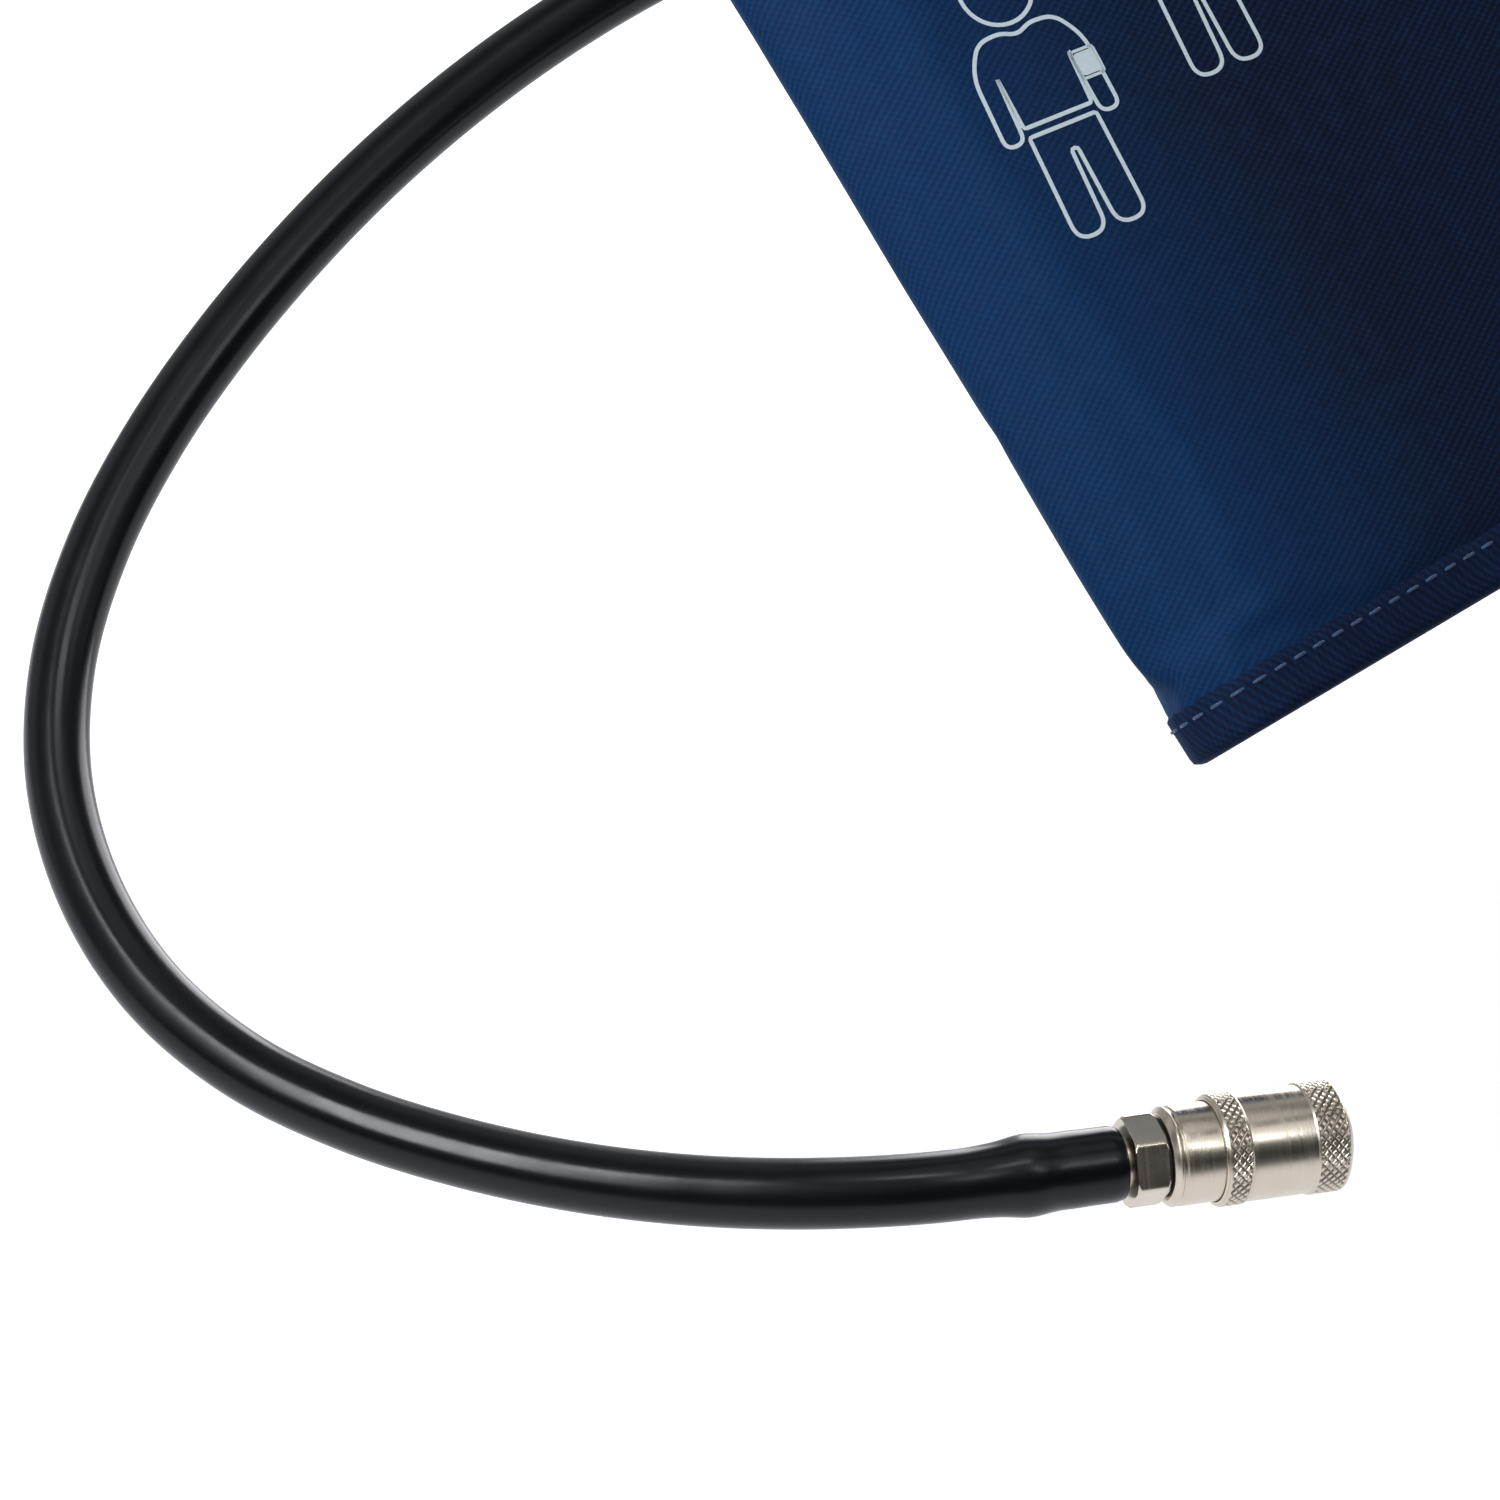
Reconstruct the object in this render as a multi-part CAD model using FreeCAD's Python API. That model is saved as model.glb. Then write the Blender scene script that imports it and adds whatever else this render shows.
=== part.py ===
import FreeCAD, Part
import math
import os

# An inflatable cuff, folded into a flat bundle, with its air hose and quick coupling (mm).
# World frame: origin at the centre of the coupling's mouth, +X along its axis out of the mouth,
# +Y away from the viewer, +Z up. The hose leaves the coupling towards -X and bends round to the
# air port on the back of the cuff.
# Cuff frame: u across from the left fold, v up along the fold, n out of the front face.
# Cuff pieces are modelled with x, y, z standing for u, v, n and are then placed in the world.

os.makedirs("parts", exist_ok=True)

V3 = FreeCAD.Vector
ORIGIN = V3(0, 0, 0)
X_AXIS, Y_AXIS, Z_AXIS = V3(1, 0, 0), V3(0, 1, 0), V3(0, 0, 1)

# ---------------------------------------------------------------- cuff dimensions
LEAN_SIDE = 27.0        # the fold leans to the left, degrees from vertical
LEAN_BACK = 30.8        # and lies back, degrees
TURN = -15.0            # the right side is turned away, degrees
CUFF_ORIGIN = (-1.65, 50.34, 35.22)   # bottom end of the left fold line, in the world
CUFF_L = 165.0          # length of the folds
CUFF_W = 150.0          # width of the folded bundle
R_LEFT = 12.0           # outside radius of the left fold, back panel to flap
R_RIGHT = 8.5           # outside radius of the right fold, back panel to inner panel
FOLD_GAP = 0.6          # each fold arc stops this far from its hinge line
INNER_W = 70.0          # width of the inner panel
FLAP_END = 144.0        # u of the flap's free end

T_COVER = 1.2
T_LINING = 1.2
T_BLADDER = 4.0
T_PAD = 2.0
LAYER_GAP = 0.2         # between the layers of a panel
T_BIND = 0.7            # binding tape
W_BIND = 8.0
BIND_CLEAR = 0.08       # between the tape and the panel it wraps
T_PATCH = 0.9           # hook patch and loop patch
PATCH_GAP = 0.1         # between a patch and its panel

# The two folds: centre u, centre n, outside radius
LEFT_FOLD = (R_LEFT, 0.0, R_LEFT)
RIGHT_FOLD = (CUFF_W - R_RIGHT, R_RIGHT - R_LEFT, R_RIGHT)
LEFT_GAP = math.degrees(math.asin(FOLD_GAP / R_LEFT))
RIGHT_GAP = math.degrees(math.asin(FOLD_GAP / R_RIGHT))

# Outer faces of the panels, and the u where their flat parts start and end
N_BACK = -R_LEFT
N_INNER = N_BACK + 2 * R_RIGHT
N_FLAP = R_LEFT
U_RIGHT = CUFF_W - R_RIGHT
U_INNER = CUFF_W - INNER_W
PANEL_V = (0, CUFF_L)

# ---------------------------------------------------------------- air port dimensions
PORT_U, PORT_V = 46.0, 145.0
N_PORT = N_BACK - 0.15  # face of the port plate that lies against the back cover
PORT_PLATE_R = 11.0
T_PLATE = 1.2
STUB_R, STUB_BORE = 3.0, 1.75
PORT_GROOVE_N, PORT_GROOVE_W = N_PORT - 5.4, 1.4
ELBOW_R = 5.5
N_ELBOW_CAP = N_PORT - 12.9
HOSE_N = -20.0          # n of the hose axis at the port

# ---------------------------------------------------------------- hose dimensions
HOSE_R, HOSE_BORE = 4.75, 2.5
HOSE_BARB_R, HOSE_BARB_BORE = 5.2, 3.15   # where it is stretched over the barb
SOCKET_EXTRA = 0.12     # radial clearance of a hose ball in its socket
X_HOSE_END = -31.8
HOSE_END_REACH = 5.6    # from the port axis to the hose end
HOSE_STRAIGHT_REACH = 15.5   # from the port axis to the start of the straight end

# Centre line in four runs of (x, y, z) stations; each run starts where the last one ends
RUN_1 = [
    (-53.99, 0.0, 0.0), (-70.81, 3.67, -0.82), (-86.51, 10.65, -1.94),
    (-101.49, 19.08, -2.18), (-115.90, 28.43, -1.21), (-129.62, 38.47, 1.05)]
RUN_2 = [
    RUN_1[-1], (-142.71, 49.99, 5.33), (-153.09, 62.83, 12.42),
    (-159.44, 76.42, 22.26), (-161.45, 89.90, 33.92), (-158.76, 102.44, 46.54)]
RUN_3 = [
    RUN_2[-1], (-151.65, 113.86, 59.87), (-141.51, 123.43, 72.78),
    (-129.42, 131.32, 85.10), (-115.99, 137.80, 96.90), (-101.58, 142.87, 108.06)]
RUN_4 = [
    RUN_3[-1], (-89.38, 145.86, 116.38), (-76.70, 147.93, 124.03),
    (-63.47, 149.04, 131.05), (-49.82, 149.09, 137.32)]
# Directions at the start of run 1 and where the runs meet
START_DIR = V3(-1, 0, 0)
DIR_12 = V3(-0.7742, 0.6080, 0.1757)
DIR_23 = V3(0.2709, 0.6525, 0.7077)
DIR_34 = V3(0.7888, 0.2293, 0.5702)

# ---------------------------------------------------------------- coupling dimensions
BORE_R = 3.8            # guide bore at the mouth
GUIDE_L = 3.0
SOCKET_R = BORE_R + 0.2      # bore behind the guide
CHAMBER_R = 4.25        # valve chamber
FRONT_R = 5.75          # body outside, mouth side of the step
BODY_R = 6.8            # body outside, behind the step
X_STEP = -14.0
X_BODY_END = -25.9
STOP_GROOVE = (-1.8, -2.6)   # x span
SEAL_GROOVE = (-9.1, -10.9)
SLEEVE_R, KNURL_R = 7.45, 7.65
SLEEVE_CLEAR = 0.1
FRONT_BAND = (-0.8, -5.9)    # x spans of the sleeve's two raised bands
REAR_BAND = (-15.1, -18.9)
BALLS = 6
BALL_R, BALL_X = 1.25, -4.5
BALL_CENTRE_R = 4.55
SLEEVE_TRAVEL, BALL_TRAVEL = 3.5, 0.75
X_HEX = (-26.4, -31.0)
HEX_AF = 11.0           # across flats
HEX_CORNER_R = HEX_AF / math.sqrt(3)
HEX_TURN = 41.6         # degrees from the vertical to the first corner
X_BARB_END = -50.0

# ---------------------------------------------------------------- cuff frame in the world
side, back, turn = (math.radians(a) for a in (LEAN_SIDE, LEAN_BACK, TURN))
V_DIR = V3(-math.sin(side) * math.cos(back), math.sin(back), math.cos(side) * math.cos(back))
unturned_u = V3(math.cos(side), 0, math.sin(side))
U_DIR = unturned_u * math.cos(turn) + unturned_u.cross(V_DIR) * math.sin(turn)
N_DIR = U_DIR.cross(V_DIR)
CUFF = FreeCAD.Placement(FreeCAD.Matrix(
    U_DIR.x, V_DIR.x, N_DIR.x, CUFF_ORIGIN[0],
    U_DIR.y, V_DIR.y, N_DIR.y, CUFF_ORIGIN[1],
    U_DIR.z, V_DIR.z, N_DIR.z, CUFF_ORIGIN[2],
    0, 0, 0, 1))


def in_world(shape):
    """A copy of a cuff-frame shape, placed in the world."""
    placed = shape.copy()
    placed.Placement = CUFF.multiply(placed.Placement)
    return placed


# ---------------------------------------------------------------- plates and sheets
def box(*spans):
    """A box from its x, y and z spans, each given in either order."""
    low = V3(*(min(s) for s in spans))
    high = V3(*(max(s) for s in spans))
    size = high - low
    return Part.makeBox(size.x, size.y, size.z, low)


def grown(span, by):
    """A span, low end first, made longer by the same amount at both ends."""
    return min(span) - by, max(span) + by


def is_corner(edge, u):
    """Whether an edge of a plate is an upright corner at this u."""
    if len(edge.Vertexes) != 2:
        return False
    a, b = (vertex.Point for vertex in edge.Vertexes)
    return abs(a.x - u) < 1e-6 and abs(b.x - u) < 1e-6 and abs(a.y - b.y) < 1e-6


def plate(u_span, v_span, n_span, corner_r):
    """A plate with its corners rounded in the u-v plane, left pair first."""
    shape = box(u_span, v_span, n_span)
    for u in u_span:
        shape = shape.makeFillet(corner_r, [e for e in shape.Edges if is_corner(e, u)])
    return shape


def flat_edges(shape):
    """The edges that lie at a constant n."""
    return [e for e in shape.Edges if abs(e.BoundBox.ZLength) < 1e-6]


def round_end(shape, n, radius):
    """Round the edges that lie at one n."""
    edges = [e for e in flat_edges(shape) if abs(e.BoundBox.ZMin - n) < 1e-6]
    return shape.makeFillet(radius, edges)


def fold_point(fold, inset, degrees):
    """A point on a fold in the u-n plane, inset from its outside."""
    u, n, outside_r = fold
    r, angle = outside_r - inset, math.radians(degrees)
    return V3(u + r * math.cos(angle), 0, n + r * math.sin(angle))


def fold_arc(fold, inset, start, end):
    angles = (start, (start + end) / 2, end)
    return Part.Arc(*(fold_point(fold, inset, a) for a in angles)).toShape()


def sheet(edges):
    """A closed outline in the u-n plane, extruded along the fold."""
    face = Part.Face(Part.Wire(Part.__sortEdges__(edges)))
    return face.extrude(V3(0, CUFF_L, 0))


# ---------------------------------------------------------------- fabric panels
def layers(n_outer, t_fill, inward):
    """n spans of the filling and the lining under a cover; inward is +1 or -1 along n."""
    fill_start = n_outer + inward * (T_COVER + LAYER_GAP)
    fill_end = fill_start + inward * t_fill
    lining_start = fill_end + inward * LAYER_GAP
    return (fill_start, fill_end), (lining_start, lining_start + inward * T_LINING)


BACK_FILL, BACK_LINING = layers(N_BACK, T_BLADDER, 1)
INNER_FILL, INNER_LINING = layers(N_INNER, T_BLADDER, -1)
FLAP_FILL, FLAP_LINING = layers(N_FLAP, T_PAD, -1)


def port_cylinder(radius, n_base, length):
    """A cylinder on the air port's axis, from n_base towards the front."""
    return Part.makeCylinder(radius, length, V3(PORT_U, PORT_V, n_base), Z_AXIS)


def back_cover():
    """The back, with the lower quarters of both folds and a hole for the air port."""
    left_end, right_end = 180 + LEFT_GAP, 360 - RIGHT_GAP
    cover = sheet([
        fold_arc(LEFT_FOLD, 0, left_end, 270),
        Part.makeLine(fold_point(LEFT_FOLD, 0, 270), fold_point(RIGHT_FOLD, 0, 270)),
        fold_arc(RIGHT_FOLD, 0, 270, right_end),
        Part.makeLine(fold_point(RIGHT_FOLD, 0, right_end),
                      fold_point(RIGHT_FOLD, T_COVER, right_end)),
        fold_arc(RIGHT_FOLD, T_COVER, right_end, 270),
        Part.makeLine(fold_point(RIGHT_FOLD, T_COVER, 270),
                      fold_point(LEFT_FOLD, T_COVER, 270)),
        fold_arc(LEFT_FOLD, T_COVER, 270, left_end),
        Part.makeLine(fold_point(LEFT_FOLD, T_COVER, left_end),
                      fold_point(LEFT_FOLD, 0, left_end)),
    ])
    return cover.cut(port_cylinder(STUB_R + 0.2, N_BACK - 2, 6))


def free_end_cover(fold, hinge_angle, u_free, n_outer):
    """The upper quarter of a fold and a flat panel from it to a free end."""
    outer_end, inner_end = V3(u_free, 0, n_outer), V3(u_free, 0, n_outer - T_COVER)
    return sheet([
        fold_arc(fold, 0, hinge_angle, 90),
        Part.makeLine(fold_point(fold, 0, 90), outer_end),
        Part.makeLine(outer_end, inner_end),
        Part.makeLine(inner_end, fold_point(fold, T_COVER, 90)),
        fold_arc(fold, T_COVER, 90, hinge_angle),
        Part.makeLine(fold_point(fold, T_COVER, hinge_angle), fold_point(fold, 0, hinge_angle)),
    ])


def bladder(u_left, n_span):
    """An air bladder: a plate with all its rims rounded."""
    shape = plate((u_left, U_RIGHT - 2.5), grown(PANEL_V, -9), n_span, 6)
    return shape.makeFillet(1.6, flat_edges(shape))


def back_binding():
    """Tape folded over the bottom and top edges of the back panel."""
    u_span, n_span = (R_LEFT, U_RIGHT), (N_BACK, BACK_LINING[1])
    # v spans of the tape outside and of the hollow in it, bottom then top
    edge_spans = [
        ((-BIND_CLEAR - T_BIND, W_BIND), (-BIND_CLEAR, W_BIND + 2 - BIND_CLEAR)),
        ((CUFF_L - W_BIND, CUFF_L + BIND_CLEAR + T_BIND),
         (CUFF_L + BIND_CLEAR - W_BIND - 2, CUFF_L + BIND_CLEAR))]
    tapes = []
    for outside_v, hollow_v in edge_spans:
        outside = box(u_span, outside_v, grown(n_span, BIND_CLEAR + T_BIND))
        hollow = box(grown(u_span, 1), hollow_v, grown(n_span, BIND_CLEAR))
        tapes.append(outside.cut(hollow))
    return Part.makeCompound(tapes)


def frame_binding(u_fold, u_free, n_span):
    """Tape on three sides of a panel: top, bottom and the free end."""
    towards_free = 1 if u_free > u_fold else -1
    u_open = u_fold - towards_free      # cuts run 1 mm past the fold side, which has no tape
    reach = BIND_CLEAR + T_BIND
    outside = box((u_fold, u_free + towards_free * reach),
                  grown(PANEL_V, reach), grown(n_span, reach))
    hollow = box((u_open, u_free + towards_free * BIND_CLEAR),
                 grown(PANEL_V, BIND_CLEAR), grown(n_span, BIND_CLEAR))
    window = box((u_open, u_free - towards_free * W_BIND),
                 grown(PANEL_V, -W_BIND), grown(n_span, 5))
    return outside.cut(hollow).cut(window)


def loop_patch():
    """On the front of the inner panel."""
    n = N_INNER + PATCH_GAP
    return plate((U_INNER + 12, U_RIGHT - 8), grown(PANEL_V, -16), (n, n + T_PATCH), 5)


def hook_patch():
    """On the back of the flap."""
    n = FLAP_LINING[1] - PATCH_GAP
    return plate((FLAP_END - 46, FLAP_END - 12), grown(PANEL_V, -20), (n - T_PATCH, n), 4)


# ---------------------------------------------------------------- air port on the back panel
def port_flange():
    """A plate with a bored, grooved stub that ends in a tapered lip."""
    stub = port_cylinder(STUB_R, N_PORT - 7.3, 7.3 - T_PLATE)
    tip = Part.makeCone(STUB_R - 0.2, STUB_R + 0.4, 0.7,
                        V3(PORT_U, PORT_V, N_PORT - 8.85), Z_AXIS)
    neck = port_cylinder(STUB_R, N_PORT - 8.15, 1.0)
    disc = port_cylinder(PORT_PLATE_R, N_PORT - T_PLATE, T_PLATE)
    disc = round_end(disc, N_PORT - T_PLATE, 0.4)
    inner_spigot = port_cylinder(STUB_R, N_PORT - 0.05, 1.4)
    groove = port_cylinder(STUB_R + 1, PORT_GROOVE_N, PORT_GROOVE_W).cut(
        port_cylinder(2.2, PORT_GROOVE_N, PORT_GROOVE_W))
    flange = stub.fuse([neck, tip, disc, inner_spigot]).cut(groove)
    return flange.cut(port_cylinder(STUB_BORE, N_PORT - 12, 20)).removeSplitter()


def port_o_ring():
    centre = V3(PORT_U, PORT_V, PORT_GROOVE_N + PORT_GROOVE_W / 2)
    return Part.makeTorus(2.62, 0.4, centre, Z_AXIS)


def branch(radius, reach, length):
    """A cylinder on the hose axis, starting at reach to the left of the port axis."""
    return Part.makeCylinder(radius, length, V3(PORT_U - reach, PORT_V, HOSE_N), X_AXIS)


def port_elbow():
    """A capped collar that turns on the stub, and a barrel with a spigot for the hose."""
    collar = port_cylinder(ELBOW_R, N_ELBOW_CAP, 11.4)
    collar = round_end(collar, N_ELBOW_CAP, 1.4)
    elbow = collar.fuse([branch(HOSE_R - 0.1, 5.4, 5.4), branch(HOSE_BORE - 0.1, 15.0, 15.0)])
    elbow = elbow.cut(port_cylinder(STUB_R + 0.05, N_PORT - 7.4, 10))
    elbow = elbow.cut(port_cylinder(STUB_R + 0.6, N_PORT - 9.7, 2.4))
    return elbow.cut(branch(1.5, 16.0, 16.5)).removeSplitter()


# ---------------------------------------------------------------- solids about X
def turned(profile):
    """A solid of revolution about X from (x, radius) points."""
    points = [V3(x, r, 0) for x, r in profile]
    face = Part.Face(Part.makePolygon(points + [points[0]]))
    return face.revolve(ORIGIN, X_AXIS, 360)


def washer(x_front, x_rear, inner_r, outer_r):
    return turned([(x_front, inner_r), (x_front, outer_r), (x_rear, outer_r), (x_rear, inner_r)])


def spring(mean_r, wire_r, x_start, x_end, turns):
    """A compression spring along X with plain ends."""
    height = x_end - x_start
    helix = Part.makeLongHelix(height / turns, height, mean_r)
    section = Part.Wire(Part.makeCircle(wire_r, V3(mean_r, 0, 0), Y_AXIS))
    coil = Part.Wire(helix).makePipeShell([section], True, True)
    coil.rotate(ORIGIN, Y_AXIS, 90)
    coil.translate(V3(x_start, 0, 0))
    return coil


# ---------------------------------------------------------------- hose
def hose_rods(points, start_dir, end_dir):
    """Two solid rods along a run: one of the hose's outside radius, one of its bore."""
    curve = Part.BSplineCurve()
    curve.interpolate(Points=[V3(*q) for q in points],
                      InitialTangent=start_dir, FinalTangent=end_dir)
    edge = curve.toShape()
    rods = []
    for radius in (HOSE_R, HOSE_BORE):
        section = Part.Wire(Part.makeCircle(radius, V3(*points[0]), start_dir))
        rods.append(Part.Wire(edge).makePipeShell([section], True, False))
    return rods


def barb_hose_segment():
    """Run 1, with the stretched end over the coupling's barb and a ball at its far end."""
    x_run = RUN_1[0][0]
    bulge_r = HOSE_BARB_R + 0.35
    end_body = turned([
        (X_HOSE_END, 0), (X_HOSE_END, HOSE_BARB_R - 0.25), (X_HOSE_END - 0.4, HOSE_BARB_R),
        (-39.5, HOSE_BARB_R), (-43.5, bulge_r), (-45.5, bulge_r),
        (-49.5, HOSE_R + 0.15), (-52.0, HOSE_R), (x_run, HOSE_R), (x_run, 0)])
    end_core = turned([
        (X_HOSE_END + 1, 0), (X_HOSE_END + 1, HOSE_BARB_BORE), (-50.6, HOSE_BARB_BORE),
        (-52.4, HOSE_BORE), (x_run, HOSE_BORE), (x_run, 0)])
    body, core = hose_rods(RUN_1, START_DIR, DIR_12)
    end = V3(*RUN_1[-1])
    body = end_body.fuse([body, Part.makeSphere(HOSE_R, end)])
    core = end_core.fuse([core, Part.makeCylinder(HOSE_BORE, HOSE_R + 1, end, DIR_12)])
    return body.cut(core)


def hose_segment(points, start_dir, end_dir, straight=None):
    """A run with a ball socket at its start, and a ball or a straight length at its end."""
    body, core = hose_rods(points, start_dir, end_dir)
    start, end = V3(*points[0]), V3(*points[-1])
    if straight:
        body = body.fuse(Part.makeCylinder(HOSE_R, straight, end, end_dir))
        core = core.fuse(Part.makeCylinder(HOSE_BORE, straight + 1, end, end_dir))
    else:
        body = body.fuse(Part.makeSphere(HOSE_R, end))
        core = core.fuse(Part.makeCylinder(HOSE_BORE, HOSE_R + 1, end, end_dir))
    body = body.cut(Part.makeSphere(HOSE_R + SOCKET_EXTRA, start))
    return body.cut(core).removeSplitter()


def port_hose_segment():
    """Run 4, carried on to the elbow's spigot."""
    approach = CUFF.multVec(V3(PORT_U - 24.0, PORT_V + 1.1, HOSE_N - 1.2))
    straight_start = CUFF.multVec(V3(PORT_U - HOSE_STRAIGHT_REACH, PORT_V, HOSE_N))
    points = RUN_4 + [tuple(approach), tuple(straight_start)]
    return hose_segment(points, DIR_34, U_DIR, straight=HOSE_STRAIGHT_REACH - HOSE_END_REACH)


# ---------------------------------------------------------------- quick coupling
def ball_directions():
    """Unit vectors from the coupling's axis to its locking balls."""
    angles = [2 * math.pi * k / BALLS for k in range(BALLS)]
    return [V3(0, math.sin(a), math.cos(a)) for a in angles]


def coupling_body():
    """Plug bore with a seal groove, valve seat, valve chamber, and a step outside."""
    body = turned([
        # inside, from the mouth
        (0.0, BORE_R), (-GUIDE_L, BORE_R), (-GUIDE_L, SOCKET_R), (SEAL_GROOVE[0], SOCKET_R),
        (SEAL_GROOVE[0], 4.75), (SEAL_GROOVE[1], 4.75), (SEAL_GROOVE[1], SOCKET_R),
        (-12.0, SOCKET_R), (-12.0, 2.4), (-13.2, 2.4), (-13.2, CHAMBER_R),
        (X_BODY_END, CHAMBER_R),
        # outside, back to the mouth
        (X_BODY_END, BODY_R - 0.8), (X_BODY_END + 0.8, BODY_R), (-24.7, BODY_R),
        (-24.7, BODY_R - 0.25), (-24.3, BODY_R - 0.25), (-24.3, BODY_R),
        (X_STEP, BODY_R), (X_STEP, FRONT_R), (STOP_GROOVE[1], FRONT_R), (STOP_GROOVE[1], 5.2),
        (STOP_GROOVE[0], 5.2), (STOP_GROOVE[0], FRONT_R), (-0.3, FRONT_R),
        (0.0, FRONT_R - 0.3)])
    for direction in ball_directions():
        base = V3(BALL_X, 0, 0) + direction * 3.0
        body = body.cut(Part.makeCylinder(BALL_R + 0.06, 4, base, direction))
    return body


def locking_sleeve():
    """A tapered lock face over the balls, a spring pocket and a skirt that runs on the body."""
    front_bore = FRONT_R + SLEEVE_CLEAR
    skirt_bore = BODY_R + SLEEVE_CLEAR
    taper = BALL_TRAVEL / SLEEVE_TRAVEL
    mouth_bore = front_bore + taper * (FRONT_BAND[0] - BALL_X)
    return turned([
        (FRONT_BAND[0], mouth_bore), (FRONT_BAND[0], KNURL_R - 0.55),
        (FRONT_BAND[0] - 0.55, KNURL_R), (FRONT_BAND[1], KNURL_R),
        (FRONT_BAND[1] - 0.15, SLEEVE_R), (REAR_BAND[0] + 0.15, SLEEVE_R),
        (REAR_BAND[0], KNURL_R), (REAR_BAND[1] + 0.4, KNURL_R), (REAR_BAND[1], KNURL_R - 0.4),
        (REAR_BAND[1], skirt_bore), (-6.5, skirt_bore), (-6.5, front_bore),
        (BALL_X, front_bore)])


def sleeve_stop_ring():
    """A split ring in the groove near the mouth, open at the top."""
    ring = washer(STOP_GROOVE[0] - 0.08, STOP_GROOVE[1] + 0.08, 5.3, 6.2)
    return ring.cut(Part.makeBox(2, 1.2, 8, V3(-3.2, -0.6, 0)))


def valve_poppet():
    """A mushroom poppet with crossed slots through the outer part of its nose."""
    poppet = turned([
        (-11.2, 0.0), (-11.2, 0.9), (-11.6, 1.3), (-14.0, 1.3), (-14.0, 3.3),
        (-15.4, 3.3), (-15.4, 1.2), (-19.5, 1.2), (-19.5, 0.0)])
    slot_zone = washer(-11, -14, 0.7, 2)
    for angle in (0, 90):
        slot = Part.makeBox(2.2, 0.5, 4, V3(-13.6, -0.25, -2))
        slot.rotate(ORIGIN, X_AXIS, angle)
        poppet = poppet.cut(slot.common(slot_zone))
    return poppet


def hose_tail():
    """Spigot into the body, hexagon with chamfered corners and hose barb, bored through."""
    corners = []
    for k in range(7):
        a = math.radians(HEX_TURN + 60 * k)
        corners.append(V3(X_HEX[1], -HEX_CORNER_R * math.sin(a), HEX_CORNER_R * math.cos(a)))
    hexagon = Part.Face(Part.makePolygon(corners)).extrude(V3(X_HEX[0] - X_HEX[1], 0, 0))
    end_r, crown_r = HEX_CORNER_R - 0.45, HEX_CORNER_R + 0.1
    crown = turned([
        (X_HEX[0], 0), (X_HEX[0], end_r), (X_HEX[0] - 0.45, crown_r),
        (X_HEX[1] + 0.45, crown_r), (X_HEX[1], end_r), (X_HEX[1], 0)])
    hexagon = hexagon.common(crown)
    x_shoulder = X_HEX[0] - 0.2
    stem = turned([
        (-23.8, 0.0), (-23.8, 3.9), (-24.1, 4.2), (x_shoulder, 4.2), (x_shoulder, 2.6),
        (-34.5, 2.6), (-34.6, 3.1), (-37.5, 2.7), (-40.0, 2.7), (-40.1, 3.1),
        (-43.0, 2.7), (-45.0, 2.7), (-45.1, 3.1), (X_BARB_END, 2.3), (X_BARB_END, 0.0)])
    bore = Part.makeCylinder(1.6, 28.0, V3(-51.0, 0, 0), X_AXIS)
    return hexagon.fuse(stem).cut(bore).removeSplitter()


# ---------------------------------------------------------------- all pieces
cuff_pieces = {
    "back_cover": back_cover(),
    "bladder_back": bladder(R_LEFT + 3, BACK_FILL),
    "back_lining": box((R_LEFT, U_RIGHT), PANEL_V, BACK_LINING),
    "back_edge_binding": back_binding(),
    "inner_cover": free_end_cover(RIGHT_FOLD, RIGHT_GAP, U_INNER, N_INNER),
    "bladder_inner": bladder(U_INNER + 7, INNER_FILL),
    "inner_lining": box((U_INNER, U_RIGHT), PANEL_V, INNER_LINING),
    "inner_edge_binding": frame_binding(U_RIGHT, U_INNER, (INNER_LINING[1], N_INNER)),
    "loop_patch": loop_patch(),
    "flap_cover": free_end_cover(LEFT_FOLD, 180 - LEFT_GAP, FLAP_END, N_FLAP),
    "flap_padding": plate((R_LEFT + 1, FLAP_END - 4), grown(PANEL_V, -4), FLAP_FILL, 4),
    "flap_lining": box((R_LEFT, FLAP_END), PANEL_V, FLAP_LINING),
    "flap_edge_binding": frame_binding(R_LEFT, FLAP_END, (FLAP_LINING[1], N_FLAP)),
    "hook_patch": hook_patch(),
    "port_flange": port_flange(),
    "port_o_ring": port_o_ring(),
    "port_elbow": port_elbow(),
}
world_pieces = {
    "hose_segment_1": barb_hose_segment(),
    "hose_segment_2": hose_segment(RUN_2, DIR_12, DIR_23),
    "hose_segment_3": hose_segment(RUN_3, DIR_23, DIR_34),
    "hose_segment_4": port_hose_segment(),
    "coupling_body": coupling_body(),
    "locking_sleeve": locking_sleeve(),
    "sleeve_stop_ring": sleeve_stop_ring(),
    "sleeve_spring": spring(mean_r=6.32, wire_r=0.28, x_start=-13.4, x_end=-7.1, turns=4),
    "socket_o_ring": Part.makeTorus(3.95, 0.74, V3(sum(SEAL_GROOVE) / 2, 0, 0), X_AXIS),
    "valve_poppet": valve_poppet(),
    "poppet_seal": washer(-13.3, -13.95, 1.36, 3.3),
    "valve_spring": spring(mean_r=2.3, wire_r=0.3, x_start=-23.4, x_end=-15.8, turns=5),
    "hose_tail": hose_tail(),
    "tail_washer": washer(X_BODY_END - 0.08, X_HEX[0] + 0.06, 4.35, 5.35),
}
for number, direction in enumerate(ball_directions(), 1):
    centre = V3(BALL_X, 0, 0) + direction * BALL_CENTRE_R
    world_pieces["locking_ball_%d" % number] = Part.makeSphere(BALL_R, centre)

for node, shape in cuff_pieces.items():
    in_world(shape).exportStep("parts/%s.step" % node)
for node, shape in world_pieces.items():
    shape.exportStep("parts/%s.step" % node)
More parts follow.
